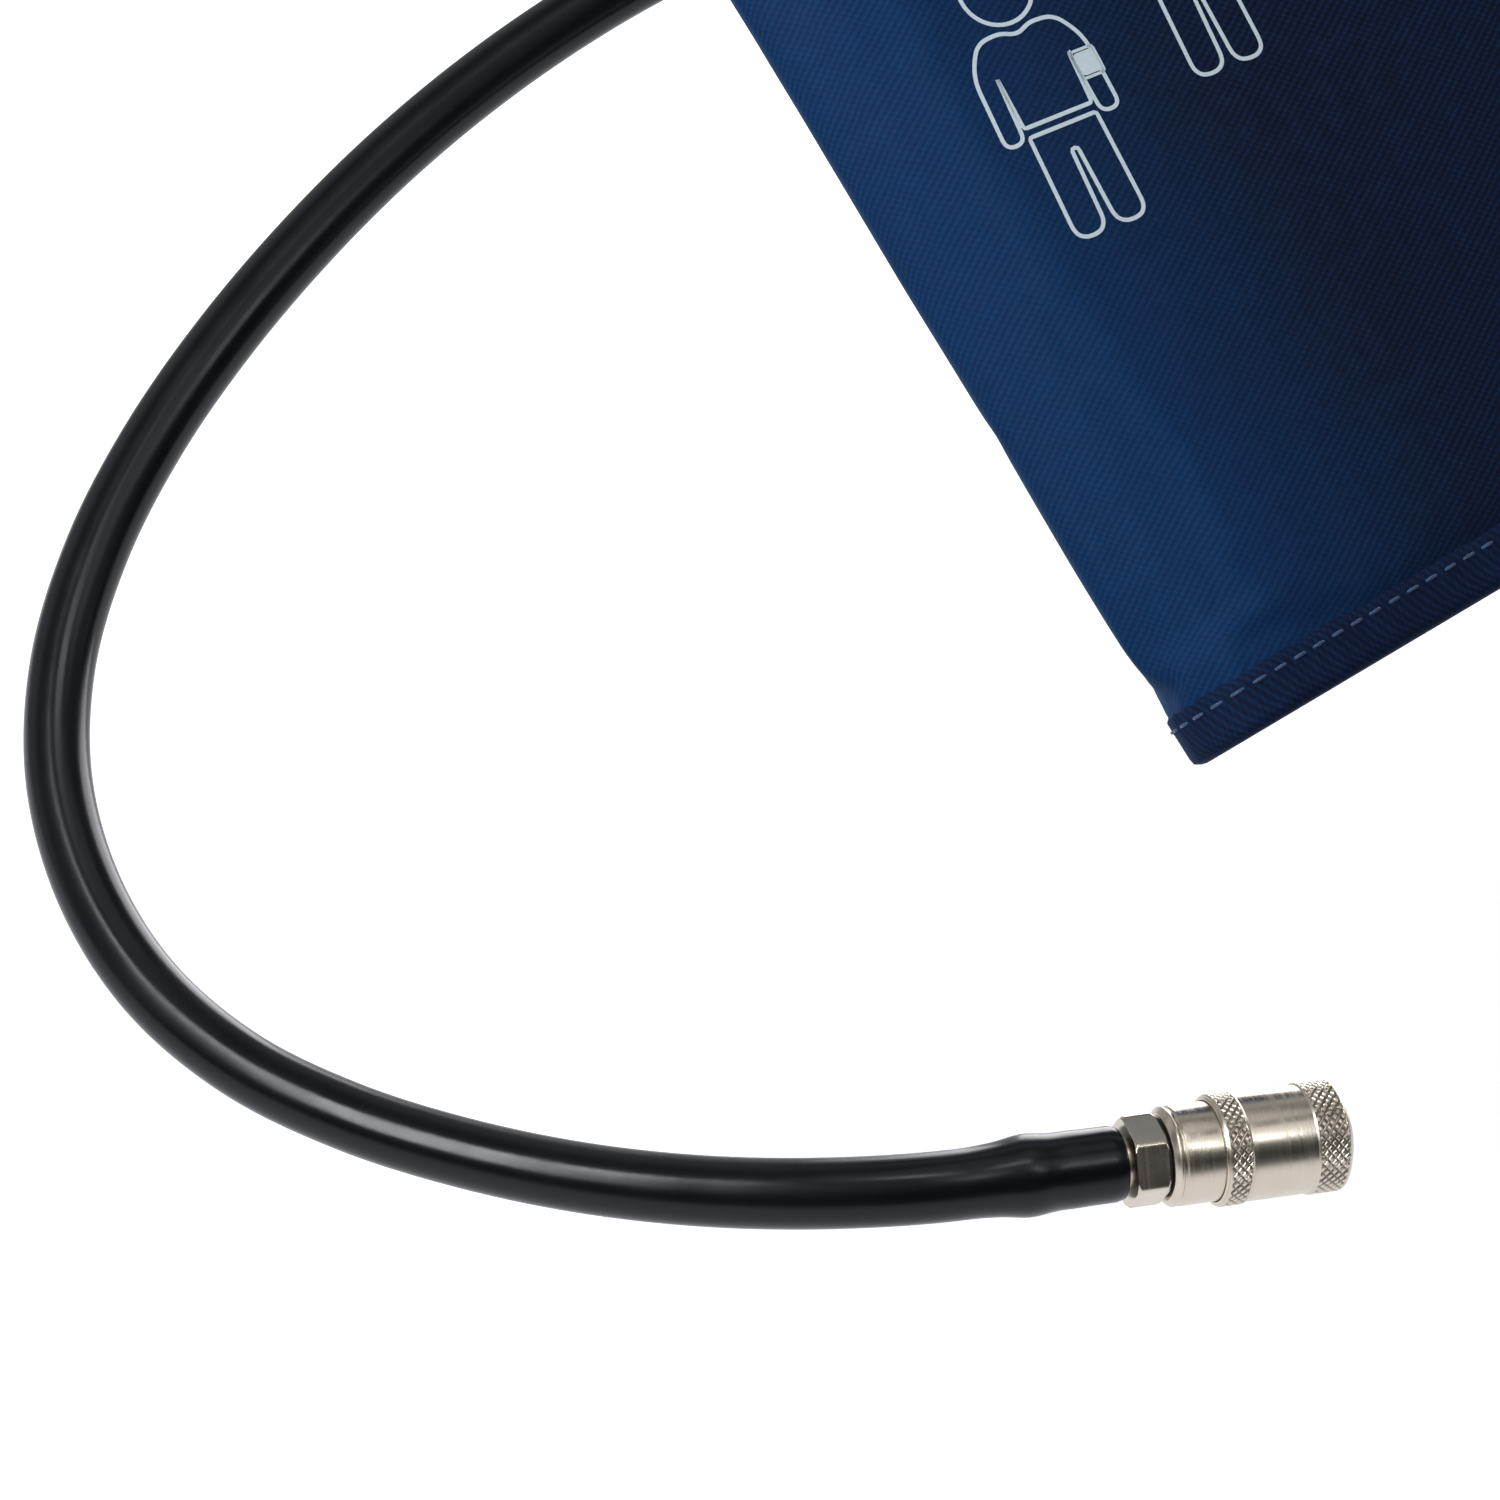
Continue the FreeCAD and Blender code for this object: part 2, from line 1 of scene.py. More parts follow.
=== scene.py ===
# A padded cuff with hook and loop patches, folded over at both side edges, with a rubber hose
# that loops round from the port behind the cuff to a nickel coupling.
# The coupling lies along X with its mouth at x = 0 and its hose tail towards -X. The cuff stands
# tilted behind it in its own directions: u to the right, v up the cuff, n out of its front.
# Sizes are in mm and become metres when meshes are made.
import math

import bmesh
import bpy
import numpy as np
from mathutils import Matrix, Vector
from mathutils.bvhtree import BVHTree


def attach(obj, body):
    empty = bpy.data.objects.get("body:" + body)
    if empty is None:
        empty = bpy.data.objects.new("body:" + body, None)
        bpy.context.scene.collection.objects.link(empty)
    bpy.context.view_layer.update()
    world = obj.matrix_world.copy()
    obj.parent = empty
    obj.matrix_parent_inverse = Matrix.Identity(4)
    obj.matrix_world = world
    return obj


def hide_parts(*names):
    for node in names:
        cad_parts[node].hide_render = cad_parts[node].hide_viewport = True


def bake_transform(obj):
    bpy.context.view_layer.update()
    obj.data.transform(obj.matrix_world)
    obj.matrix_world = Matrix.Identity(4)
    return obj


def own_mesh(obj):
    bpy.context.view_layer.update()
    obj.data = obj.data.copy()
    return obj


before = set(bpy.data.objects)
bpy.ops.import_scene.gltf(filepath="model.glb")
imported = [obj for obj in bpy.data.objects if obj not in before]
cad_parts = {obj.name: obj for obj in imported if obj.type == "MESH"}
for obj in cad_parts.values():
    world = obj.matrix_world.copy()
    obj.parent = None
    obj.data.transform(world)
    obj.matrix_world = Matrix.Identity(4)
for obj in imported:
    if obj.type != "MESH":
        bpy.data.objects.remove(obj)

MM = 1000.0  # mm in a metre
scene = bpy.context.scene


def log_size():
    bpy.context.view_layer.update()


log_size()

# ------------------------------------------------------------------ cuff directions and sizes
U_DIR = np.array([0.920812, 0.222315, 0.320439])
V_DIR = np.array([-0.38996, 0.512043, 0.765339])
N_DIR = np.array([0.006068, -0.829692, 0.558189])
CUFF_ORIGIN = np.array([-1.65, 50.34, 35.22])

CUFF_HEIGHT = 165.0     # along v
CUFF_WIDTH = 150.0      # along u
LEFT_FOLD_R = 12.0      # outside radius of the fold at u = 0
RIGHT_FOLD_R = 8.5      # outside radius of the fold at u = CUFF_WIDTH
SEAM_U = 97.0           # sewn seam on the back panel, where the two wraps meet
SEAM_HALF_GAP = 1.3
INNER_END_U = 80.0      # free edge of the inner panel
FLAP_END_U = 144.0      # free edge of the flap

# outside and inside levels of each panel along n
BACK_N = -LEFT_FOLD_R
BACK_INSIDE_N = -5.2
INNER_N = BACK_N + 2 * RIGHT_FOLD_R
INNER_INSIDE_N = -1.8
FLAP_N = BACK_N + 2 * LEFT_FOLD_R
FLAP_INSIDE_N = 7.2
BLEND_V = 82.0          # height of the points kept as each wrap's blend_start and blend_end


def to_world(points):
    """Rows of cuff coordinates (u, v, n) in mm to world coordinates in metres."""
    p = np.atleast_2d(np.asarray(points, float))
    return (CUFF_ORIGIN + p[:, :1] * U_DIR + p[:, 1:2] * V_DIR + p[:, 2:3] * N_DIR) / MM


def world_point(u, v, n):
    return tuple(float(c) for c in to_world([u, v, n])[0])


# ------------------------------------------------------------------ node helpers
def srgb(red, green, blue):
    """An 8 bit colour as linear RGBA."""
    def linear(c):
        c = c / 255.0
        return c / 12.92 if c <= 0.04045 else ((c + 0.055) / 1.055) ** 2.4
    return (linear(red), linear(green), linear(blue), 1.0)


def grey(value):
    return (value, value, value, 1)


class Nodes:
    """Adds shader nodes to one tree. Any input may be a plain value or another node's output."""

    def __init__(self, tree):
        self.tree = tree

    def feed(self, socket, value):
        if isinstance(value, bpy.types.NodeSocket):
            self.tree.links.new(value, socket)
        else:
            socket.default_value = value

    def node(self, kind, inputs=None, **properties):
        made = self.tree.nodes.new("ShaderNode" + kind)
        for name, value in properties.items():
            setattr(made, name, value)
        for socket, value in (inputs or {}).items():
            self.feed(made.inputs[socket], value)
        return made

    def math(self, operation, *values):
        return self.node("Math", dict(enumerate(values)), operation=operation).outputs[0]

    def add(self, first, second):
        return self.math("ADD", first, second)

    def multiply(self, first, second):
        return self.math("MULTIPLY", first, second)

    def split(self, vector):
        return self.node("SeparateXYZ", {0: vector}).outputs

    def ramp(self, factor, stops):
        """stops are (position, colour)."""
        made = self.node("ValToRGB")
        elements = made.color_ramp.elements
        while len(elements) < len(stops):
            elements.new(0.5)
        for element, (position, colour) in zip(elements, stops):
            element.position = position
            element.color = colour
        self.feed(made.inputs[0], factor)
        return made.outputs[0]

    def mix(self, factor, first, second):
        # sockets 6, 7 and output 2 are the colour ones
        return self.node("Mix", {0: factor, 6: first, 7: second}, data_type="RGBA").outputs[2]

    def map_range(self, value, source, target, smooth=False):
        kind = "SMOOTHSTEP" if smooth else "LINEAR"
        inputs = {0: value, 1: source[0], 2: source[1], 3: target[0], 4: target[1]}
        return self.node("MapRange", inputs, interpolation_type=kind).outputs[0]


class Material(Nodes):
    """One procedural material around a Principled shader."""

    def __init__(self, name):
        self.material = bpy.data.materials.new(name)
        self.material.use_nodes = True
        super().__init__(self.material.node_tree)
        self.shader = self.tree.nodes["Principled BSDF"]

    def coords(self, kind):
        return self.node("TexCoord").outputs[kind]

    def stretched(self, vector, scale):
        return self.node("Mapping", {"Scale": scale, "Vector": vector}).outputs[0]

    def noise(self, vector, scale, detail=4.0, rough=0.5):
        inputs = {"Scale": scale, "Detail": detail, "Roughness": rough, "Vector": vector}
        return self.node("TexNoise", inputs).outputs[0]

    def bump(self, height, distance, strength, over=None):
        inputs = {"Strength": strength, "Distance": distance, "Height": height}
        if over is not None:
            inputs["Normal"] = over
        return self.node("Bump", inputs).outputs[0]

    def surface(self, inputs):
        """Feeds the shader and returns the finished material."""
        for name, value in inputs.items():
            self.feed(self.shader.inputs[name], value)
        return self.material


# ------------------------------------------------------------------ materials
TWILL_TONES = (0.22, 0.58, 0.95)    # ramp positions of the dark, middle and light dye
PAINTED_SHADE_SPAN = (0.119, 0.172)          # metres along the strip over which painted shade darkens the cloth past the fold


def twill(name, dyes, painted_sheen, rib, floats, painted_shade_dyes=None):
    """Diagonal woven cloth. UV is in metres along the strip and up the cuff.

    rib and floats are the two weave directions, in cycles per metre along each UV axis.
    """
    k = Material(name)
    uv = k.coords("UV")
    x, y, _ = k.split(uv)
    wobble = k.multiply(k.noise(uv, scale=240.0, detail=2.0), 0.35)

    def wave(cycles, shift):
        phase = k.add(k.add(k.multiply(x, cycles[0]), k.multiply(y, cycles[1])), shift)
        saw = k.multiply(k.math("FRACT", phase), 2.0)
        return k.math("ABSOLUTE", k.math("SUBTRACT", saw, 1.0))

    ribs = wave(rib, wobble)
    float_wave = wave(floats, 0.0)
    weave = k.add(k.multiply(ribs, 0.72), k.multiply(float_wave, 0.28))
    mottle = k.noise(uv, scale=28.0, detail=5.0, rough=0.6)
    slub = k.noise(k.stretched(uv, (900, 60, 1)), scale=1.0, detail=2.0)
    blotch = k.math("SUBTRACT", k.noise(uv, scale=300.0, detail=3.0, rough=0.65), 0.5)
    wear = k.add(k.multiply(mottle, 0.34), k.multiply(slub, 0.14))
    shade = k.add(k.multiply(weave, 0.62), wear)
    shade = k.add(shade, k.multiply(blotch, 0.34))
    tone = k.ramp(shade, list(zip(TWILL_TONES, dyes)))
    if painted_shade_dyes:
        # painted light and shade: paler near the fold as if lit there, darker further along the
        # strip with painted shade
        lit_near_fold = k.map_range(x, PAINTED_SHADE_SPAN, (1.0, 0.0), smooth=True)
        tone = k.mix(lit_near_fold, k.ramp(shade, list(zip(TWILL_TONES, painted_shade_dyes))), tone)
    # painted sheen: the colour turns paler where the cloth is seen edge-on
    facing = k.node("LayerWeight", {"Blend": 0.5}).outputs["Facing"]
    edge_sheen = k.multiply(k.map_range(facing, (0.55, 1.0), (0.0, 1.0)), 0.6)
    soft = k.bump(k.noise(uv, scale=55.0, detail=3.0), distance=0.0005, strength=0.5)
    return k.surface({
        "Base Color": k.mix(edge_sheen, tone, painted_sheen),
        "Roughness": k.map_range(mottle, (0.3, 0.7), (0.74, 0.88)),
        "Sheen Weight": 0.05,
        "Sheen Roughness": 0.4,
        "Sheen Tint": (0.30, 0.52, 0.95, 1),
        "Specular IOR Level": 0.16,
        "Normal": k.bump(weave, distance=0.00003, strength=0.9, over=soft),
    })


def plain_cloth(name, dark, light, grain, depth):
    """Fuzzy cloth; grain is the noise scale and depth the bump distance in metres."""
    k = Material(name)
    uv = k.coords("UV")
    fine = k.noise(uv, scale=grain, detail=6.0, rough=0.65)
    broad = k.noise(uv, scale=grain * 0.06, detail=3.0)
    return k.surface({
        "Base Color": k.mix(k.multiply(k.add(fine, broad), 0.5), dark, light),
        "Roughness": 0.9,
        "Sheen Weight": 0.3,
        "Sheen Roughness": 0.5,
        "Normal": k.bump(fine, distance=depth, strength=0.8),
    })


def hook_material():
    k = Material("hook_tape")
    cells = {"Scale": 900.0, "Randomness": 0.25, "Vector": k.coords("UV")}
    distance = k.node("TexVoronoi", cells).outputs["Distance"]
    colours = [(0.0, srgb(104, 118, 142)), (0.35, srgb(44, 56, 80)), (1.0, srgb(18, 24, 38))]
    height = k.math("SUBTRACT", 1.0, distance)
    return k.surface({
        "Base Color": k.ramp(distance, colours),
        "Roughness": 0.5,
        "Normal": k.bump(height, distance=0.0009, strength=1.0),
    })


def ink_material():
    k = Material("print_ink")
    grain = k.noise(k.coords("Object"), scale=2400.0, detail=3.0)
    return k.surface({
        "Base Color": k.mix(grain, srgb(196, 218, 232), srgb(226, 240, 248)),
        "Roughness": 0.6,
        "Specular IOR Level": 0.2,
        "Normal": k.bump(grain, distance=0.00001, strength=0.4),
    })


def thread_material():
    k = Material("thread")
    grain = k.noise(k.coords("Object"), scale=4200.0, detail=2.0)
    return k.surface({
        "Base Color": k.mix(grain, srgb(22, 50, 92), srgb(58, 96, 146)),
        "Roughness": 0.5,
        "Sheen Weight": 0.3,
        "Normal": k.bump(grain, distance=0.0001, strength=0.8),
    })


def rubber(name, dark, light, rough, depth=0.00012, grain=700.0, specular=0.5):
    """Matt rubber or plastic; rough is the range of roughness, depth the bump in metres."""
    k = Material(name)
    place = k.coords("Object")
    fine = k.noise(place, scale=grain, detail=5.0, rough=0.6)
    broad = k.noise(place, scale=45.0, detail=3.0)
    patchy = k.noise(place, scale=130.0, detail=4.0)
    return k.surface({
        "Base Color": k.mix(broad, dark, light),
        "Roughness": k.map_range(patchy, (0.3, 0.7), rough),
        "Specular IOR Level": specular,
        "Normal": k.bump(fine, distance=depth, strength=0.45),
    })


def metal(name, dark, light, rough, stretch):
    """Plated metal with fine lines; stretch is the noise scale along each axis."""
    k = Material(name)
    place = k.coords("Object")
    lines = k.noise(k.stretched(place, stretch), scale=1.0, detail=3.0)
    cloud = k.noise(place, scale=160.0, detail=4.0)
    both = k.add(k.multiply(lines, 0.5), k.multiply(cloud, 0.5))
    return k.surface({
        "Base Color": k.mix(cloud, dark, light),
        "Metallic": 1.0,
        "Roughness": k.map_range(both, (0.35, 0.65), rough),
        "Normal": k.bump(lines, distance=0.00002, strength=0.5),
    })


NICKEL_COLOURS = (0.62, 0.545, 0.445, 1), (0.735, 0.665, 0.565, 1)


def knurl_metal():
    """Nickel with shade held in the grooves: UV x is 0 in a groove and 1 on a crest."""
    k = Material("nickel_knurl")
    place = k.coords("Object")
    crest = k.map_range(k.split(k.coords("UV"))[0], (0.15, 0.85), (0.0, 1.0))
    cloud = k.noise(place, scale=160.0, detail=4.0)
    grain = k.noise(place, scale=3000.0, detail=2.0)
    return k.surface({
        "Base Color": k.mix(crest, (0.085, 0.068, 0.05, 1), k.mix(cloud, *NICKEL_COLOURS)),
        "Metallic": 1.0,
        "Roughness": k.map_range(cloud, (0.3, 0.7), (0.26, 0.38)),
        "Normal": k.bump(grain, distance=0.00002, strength=0.5),
    })


NAVY = twill(
    "navy_twill", dyes=(srgb(6, 37, 79), srgb(8, 50, 95), srgb(12, 62, 111)),
    # darker copies of the dyes: painted shade for the flap away from its left fold
    painted_shade_dyes=(srgb(2, 9, 25), srgb(6, 23, 52), srgb(13, 46, 88)),
    # painted sheen colour for cloth seen edge-on
    painted_sheen=srgb(74, 106, 144), rib=(492.0, -867.0), floats=(800.0, 854.0))
BINDING = twill(
    "navy_tape", dyes=(srgb(5, 16, 40), srgb(9, 30, 64), srgb(18, 48, 90)),
    # painted sheen colour for cloth seen edge-on
    painted_sheen=srgb(44, 70, 106), rib=(760.0, -760.0), floats=(1100.0, 300.0))
LINING = plain_cloth("brushed_lining", dark=srgb(16, 18, 23), light=srgb(38, 41, 49),
                     grain=2600.0, depth=0.0003)
LOOP_PILE = plain_cloth("loop_pile", dark=srgb(10, 24, 50), light=srgb(34, 62, 104),
                        grain=1500.0, depth=0.0009)
HOOK_TAPE = hook_material()
INK = ink_material()
THREAD = thread_material()
HOSE_RUBBER = rubber("hose_rubber", dark=srgb(9, 12, 16), light=srgb(15, 18, 24),
                     rough=(0.20, 0.26), depth=0.000018, specular=0.32)
SEAL_RUBBER = rubber("seal_rubber", dark=srgb(12, 12, 13), light=srgb(24, 24, 26),
                     rough=(0.5, 0.65))
# held ready in the file: no piece below wears it
rubber("bladder_sheet", dark=srgb(26, 26, 29), light=srgb(36, 36, 40), rough=(0.45, 0.6))
PORT_PLASTIC = rubber("port_plastic", dark=srgb(22, 24, 28), light=srgb(32, 34, 39),
                      rough=(0.4, 0.55), depth=0.00006, grain=1500.0)
NICKEL = metal("nickel_plate", *NICKEL_COLOURS, rough=(0.18, 0.32), stretch=(2600, 60, 60))
KNURL = knurl_metal()
STEEL = metal("bright_steel", dark=(0.60, 0.60, 0.61, 1), light=(0.74, 0.74, 0.75, 1),
              rough=(0.14, 0.26), stretch=(60, 2600, 2600))


# ------------------------------------------------------------------ mesh helpers
def add_mesh(name, verts, faces, materials, uv=None, face_materials=None, smooth=True,
             sharp=None, outward=True):
    """Adds an object from world vertices in metres. uv is per vertex, sharp is in degrees."""
    mesh = bpy.data.meshes.new(name)
    mesh.from_pydata([tuple(map(float, v)) for v in verts], [],
                     [tuple(int(i) for i in face) for face in faces])
    for material in materials:
        mesh.materials.append(material)
    if face_materials is not None:
        mesh.polygons.foreach_set("material_index", np.asarray(face_materials, np.int32))
    if uv is not None:
        layer = mesh.uv_layers.new(name="UVMap")
        corner = np.zeros(len(mesh.loops), np.int32)
        mesh.loops.foreach_get("vertex_index", corner)
        layer.data.foreach_set("uv", np.asarray(uv, np.float32)[corner].ravel())
    mesh.polygons.foreach_set("use_smooth", [smooth] * len(mesh.polygons))
    mesh.update()
    if sharp is not None:
        mesh.set_sharp_from_angle(angle=math.radians(sharp))
    ob = bpy.data.objects.new(name, mesh)
    scene.collection.objects.link(ob)
    if outward:
        bm = bmesh.new()
        bm.from_mesh(mesh)
        bmesh.ops.recalc_face_normals(bm, faces=bm.faces)
        bm.to_mesh(mesh)
        bm.free()
    return ob


def grid_faces(rows, cols, base=0, close_cols=False, flip=False):
    faces = []
    for i in range(rows - 1):
        for j in range(cols if close_cols else cols - 1):
            a = base + i * cols + j
            b = base + i * cols + (j + 1) % cols
            c, d = a + cols, b + cols
            faces.append((a, c, d, b) if flip else (a, b, d, c))
    return faces


def slab_faces(rows, cols, turn_rim=False):
    """Two grids, one behind the other, joined round the rim. turn_rim reverses two rim sides."""
    back = rows * cols

    def wall(a, b, turned):
        return (a, back + a, back + b, b) if turned and turn_rim else (a, b, back + b, back + a)

    faces = grid_faces(rows, cols) + grid_faces(rows, cols, back, flip=True)
    for i in range(rows - 1):
        for j, turned in ((0, False), (cols - 1, True)):
            faces.append(wall(i * cols + j, (i + 1) * cols + j, turned))
    for j in range(cols - 1):
        for i, turned in ((0, True), (rows - 1, False)):
            faces.append(wall(i * cols + j, i * cols + j + 1, turned))
    return faces


def tube_faces(rows, cols, flip_caps=False):
    """A tube of closed rings with a flat cap on each end."""
    first = tuple(range(cols))
    last = tuple(range((rows - 1) * cols, rows * cols))
    caps = [first, last[::-1]] if flip_caps else [first[::-1], last]
    return grid_faces(rows, cols, close_cols=True) + caps


def ring_faces(rows, cols, closing):
    """A tube of closed rings, then bands between the rings numbered in closing."""
    faces = grid_faces(rows, cols, close_cols=True)
    for j in range(cols):
        k = (j + 1) % cols
        for near, far in zip(closing[:-1], closing[1:]):
            a, b = near * cols, far * cols
            faces.append((a + j, a + k, b + k, b + j))
    return faces


def fit(ob, part, replaces=None):
    """Ties an object to one moving part of the frame."""
    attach(ob, part)
    if replaces:
        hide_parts(replaces)


def read_vertices(mesh, attribute):
    flat = np.zeros(len(mesh.vertices) * 3, np.float32)
    mesh.vertices.foreach_get(attribute, flat)
    return flat.reshape(-1, 3).astype(float)


# ------------------------------------------------------------------ lines and curves
def arc_line(centre, radius, start, end, step):
    """Points on an arc, angles in degrees."""
    n = max(3, int(abs(math.radians(end - start)) * radius / step) + 1)
    t = np.radians(np.linspace(start, end, n))
    return np.stack([centre[0] + radius * np.cos(t), centre[1] + radius * np.sin(t)], 1)


def straight_line(start, end, step):
    n = max(2, int(math.hypot(end[0] - start[0], end[1] - start[1]) / step) + 1)
    t = np.linspace(0, 1, n)[:, None]
    return np.array(start) * (1 - t) + np.array(end) * t


def join(first, *others):
    return np.vstack([first] + [line[1:] for line in others])


def arc_length(points):
    return np.concatenate([[0], np.cumsum(np.linalg.norm(np.diff(points, axis=0), axis=1))])


def smooth01(t):
    t = np.clip(t, 0, 1)
    return t * t * (3 - 2 * t)


def round_corners(points, radii, share, samples, closed):
    """Rounds the corners of a line, each using at most a share of its neighbouring sides."""
    points = np.array(points, float)
    n = len(points)
    radii = np.broadcast_to(radii, n)
    out = []
    for i, p in enumerate(points):
        if not closed and i in (0, n - 1):
            out.append(p)
            continue
        before, after = points[i - 1] - p, points[(i + 1) % n] - p
        len_before, len_after = np.linalg.norm(before), np.linalg.norm(after)
        r = min(radii[i], len_before * share, len_after * share)
        p0, p1 = p + before / len_before * r, p + after / len_after * r
        for t in np.linspace(0, 1, samples):
            out.append((1 - t) ** 2 * p0 + 2 * t * (1 - t) * p + t ** 2 * p1)
    return np.array(out)


# ------------------------------------------------------------------ the two cloth wraps
STEP = 2.6    # mesh spacing of the flat cloth
EDGE_HALF = 1.25                # half thickness at a sewn edge
HEM_START, HEM_LENGTH = 1.0, 15.0   # where the padding starts to rise, and over what length
FOLD_EASE = 22.0                # length over which padding thins towards a fold
HELD_EDGE = 7.6                 # border held still in the simulation
HELD_SEAM = 2.0

LEFT_FOLD = (LEFT_FOLD_R, 0)    # (u, n) centres of the folds
RIGHT_FOLD = (CUFF_WIDTH - RIGHT_FOLD_R, BACK_N + RIGHT_FOLD_R)


def hem(distance, half):
    """Share of the full half thickness at a distance from a sewn edge."""
    least = np.minimum(1.0, EDGE_HALF / half)
    rise = np.sin(np.pi / 2 * np.clip((distance - HEM_START) / HEM_LENGTH, 0, 1)) ** 0.9
    return least + (1 - least) * rise


class Wrap:
    """One padded strip: outside and inside lines in the u-n plane, carried up the cuff.

    s is the length along the outside line from the back seam to the free end. open_way is the
    direction along u in which the free end points. Depths are thicknesses of the strip.
    """

    def __init__(self, word, panel, outer, fold_centre, open_way, fold_depth, front_depth,
                 blend_start, blend_end, crease_seed):
        self.word, self.panel, self.open_way = word, panel, open_way
        self.blend_start, self.blend_end = blend_start, blend_end
        self.crease_seed = crease_seed
        inner = self.inside_line(outer, fold_centre, fold_depth, front_depth)
        self.mid = (outer + inner) / 2
        self.half = np.linalg.norm(outer - inner, axis=1) / 2
        self.out = (outer - inner) / (2 * self.half[:, None])
        self.s = arc_length(outer)
        self.total = self.s[-1]

    def inside_line(self, outer, fold_centre, fold_depth, front_depth):
        """The outside line moved inwards by a thickness that drops over the fold."""
        way = np.gradient(outer, axis=0)
        way /= np.linalg.norm(way, axis=1)[:, None]
        inwards = np.stack([-way[:, 1], way[:, 0]], 1) * -self.open_way
        full = np.where(outer[:, 1] < fold_centre[1], BACK_INSIDE_N - BACK_N, front_depth)
        from_fold = self.open_way * (outer[:, 0] - fold_centre[0])
        depth = fold_depth + (full - fold_depth) * smooth01(from_fold / FOLD_EASE)
        return outer + inwards * depth[:, None]

    def at(self, s):
        """Middle point and outward direction, each as (u, n)."""
        mid = np.stack([np.interp(s, self.s, self.mid[:, k]) for k in (0, 1)], -1)
        out = np.stack([np.interp(s, self.s, self.out[:, k]) for k in (0, 1)], -1)
        out /= np.linalg.norm(out, axis=-1)[..., None]
        return mid, out

    def half_at(self, s, v):
        half = np.interp(s, self.s, self.half)
        from_edge = np.minimum(v, CUFF_HEIGHT - v)
        share = np.minimum(hem(from_edge, half), hem(self.total - s, half))
        seam = 1.0 - 0.14 * np.exp(-(s / 3.0) ** 2)
        return half * share * seam

    def point(self, s, v, side, lift=0.0):
        """Surface points (u, v, n): side +1 outside, -1 inside, lifted by mm."""
        s, v = np.asarray(s, float), np.asarray(v, float)
        mid, out = self.at(s)
        half = self.half_at(s, v) + lift
        q = mid + out * (half * side)[..., None]
        return np.stack([q[..., 0], v, q[..., 1]], -1)

    def bend(self, ob):
        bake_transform(ob)


LEFT = Wrap(
    "left", "flap",
    outer=join(straight_line((SEAM_U + SEAM_HALF_GAP, BACK_N), (LEFT_FOLD_R, BACK_N), STEP),
               arc_line(LEFT_FOLD, LEFT_FOLD_R, start=270, end=90, step=1.3),
               straight_line((LEFT_FOLD_R, FLAP_N), (FLAP_END_U, FLAP_N), STEP)),
    fold_centre=LEFT_FOLD, open_way=1, fold_depth=2.8, front_depth=FLAP_N - FLAP_INSIDE_N,
    blend_start=world_point(0, BLEND_V, BACK_INSIDE_N + 0.3),
    blend_end=world_point(0, BLEND_V, FLAP_INSIDE_N - 0.3), crease_seed=3)
RIGHT = Wrap(
    "right", "inner_panel",
    outer=join(straight_line((SEAM_U - SEAM_HALF_GAP, BACK_N), (RIGHT_FOLD[0], BACK_N), STEP),
               arc_line(RIGHT_FOLD, RIGHT_FOLD_R, start=-90, end=90, step=0.9),
               straight_line((RIGHT_FOLD[0], INNER_N), (INNER_END_U, INNER_N), STEP)),
    fold_centre=RIGHT_FOLD, open_way=-1, fold_depth=3.2, front_depth=INNER_N - INNER_INSIDE_N,
    blend_start=world_point(CUFF_WIDTH, BLEND_V, BACK_INSIDE_N + 0.15),
    blend_end=world_point(CUFF_WIDTH, BLEND_V, INNER_INSIDE_N - 0.15), crease_seed=5)


def v_rows():
    """Heights of the mesh rows, closer together at the hems."""
    edge = np.array([0.0, 1.5, 3.5, 6.0])
    border = 8.5
    count = int((CUFF_HEIGHT - 2 * border) / STEP) + 1
    middle = np.linspace(border, CUFF_HEIGHT - border, count)
    return np.concatenate([edge, middle, (CUFF_HEIGHT - edge)[::-1]])


def build_wrap(wrap):
    """Returns the object and, per vertex, its (s, v), rest place, held flag and side."""
    rows = v_rows()
    s, v = (g.ravel() for g in np.meshgrid(wrap.s, rows, indexing="ij"))
    verts = to_world(np.vstack([wrap.point(s, v, side) for side in (1, -1)]))
    strip = np.vstack([np.stack([s, v], 1)] * 2)
    faces = slab_faces(len(wrap.s), len(rows), turn_rim=True)
    face_materials = np.zeros(len(faces))
    sheet = (len(wrap.s) - 1) * (len(rows) - 1)
    face_materials[sheet:2 * sheet] = 1     # lining on the inside
    ob = add_mesh("cuff_wrap_" + wrap.word, verts, faces, [NAVY, LINING], strip / MM,
                  face_materials)
    # hems, the free end and the back seam are held in the simulation
    from_edge = np.minimum(v, CUFF_HEIGHT - v)
    held = (from_edge < HELD_EDGE) | (wrap.total - s < HELD_EDGE) | (s < HELD_SEAM)
    held = np.concatenate([held, held])
    side = np.concatenate([np.ones(len(s)), -np.ones(len(s))])
    return ob, strip, verts, held, side


def simulate(ob, rest, held):
    """Lets the strip swell against its sewn edges; returns the movement in mm."""
    frames = 20
    group = ob.vertex_groups.new(name="held")
    group.add([int(i) for i in np.nonzero(held)[0]], 1.0, "REPLACE")
    modifier = ob.modifiers.new("cloth", "CLOTH")
    settings = modifier.settings
    settings.quality = 6
    settings.mass = 0.25
    settings.air_damping = 4.0
    settings.tension_stiffness = 12.0
    settings.compression_stiffness = 12.0
    settings.shear_stiffness = 4.0
    settings.bending_stiffness = 0.6
    settings.use_pressure = True
    settings.uniform_pressure_force = 4.0
    settings.vertex_group_mass = "held"
    settings.pin_stiffness = 1.0
    settings.shrink_min = -0.022
    settings.effector_weights.gravity = 0.0
    modifier.collision_settings.use_collision = False
    modifier.point_cache.frame_start = 1
    modifier.point_cache.frame_end = frames
    for f in range(1, frames + 1):
        scene.frame_set(f)
    evaluated = ob.evaluated_get(bpy.context.evaluated_depsgraph_get())
    moved = read_vertices(evaluated.data, "co")
    ob.modifiers.remove(modifier)
    scene.frame_set(1)
    return (moved - rest) * MM


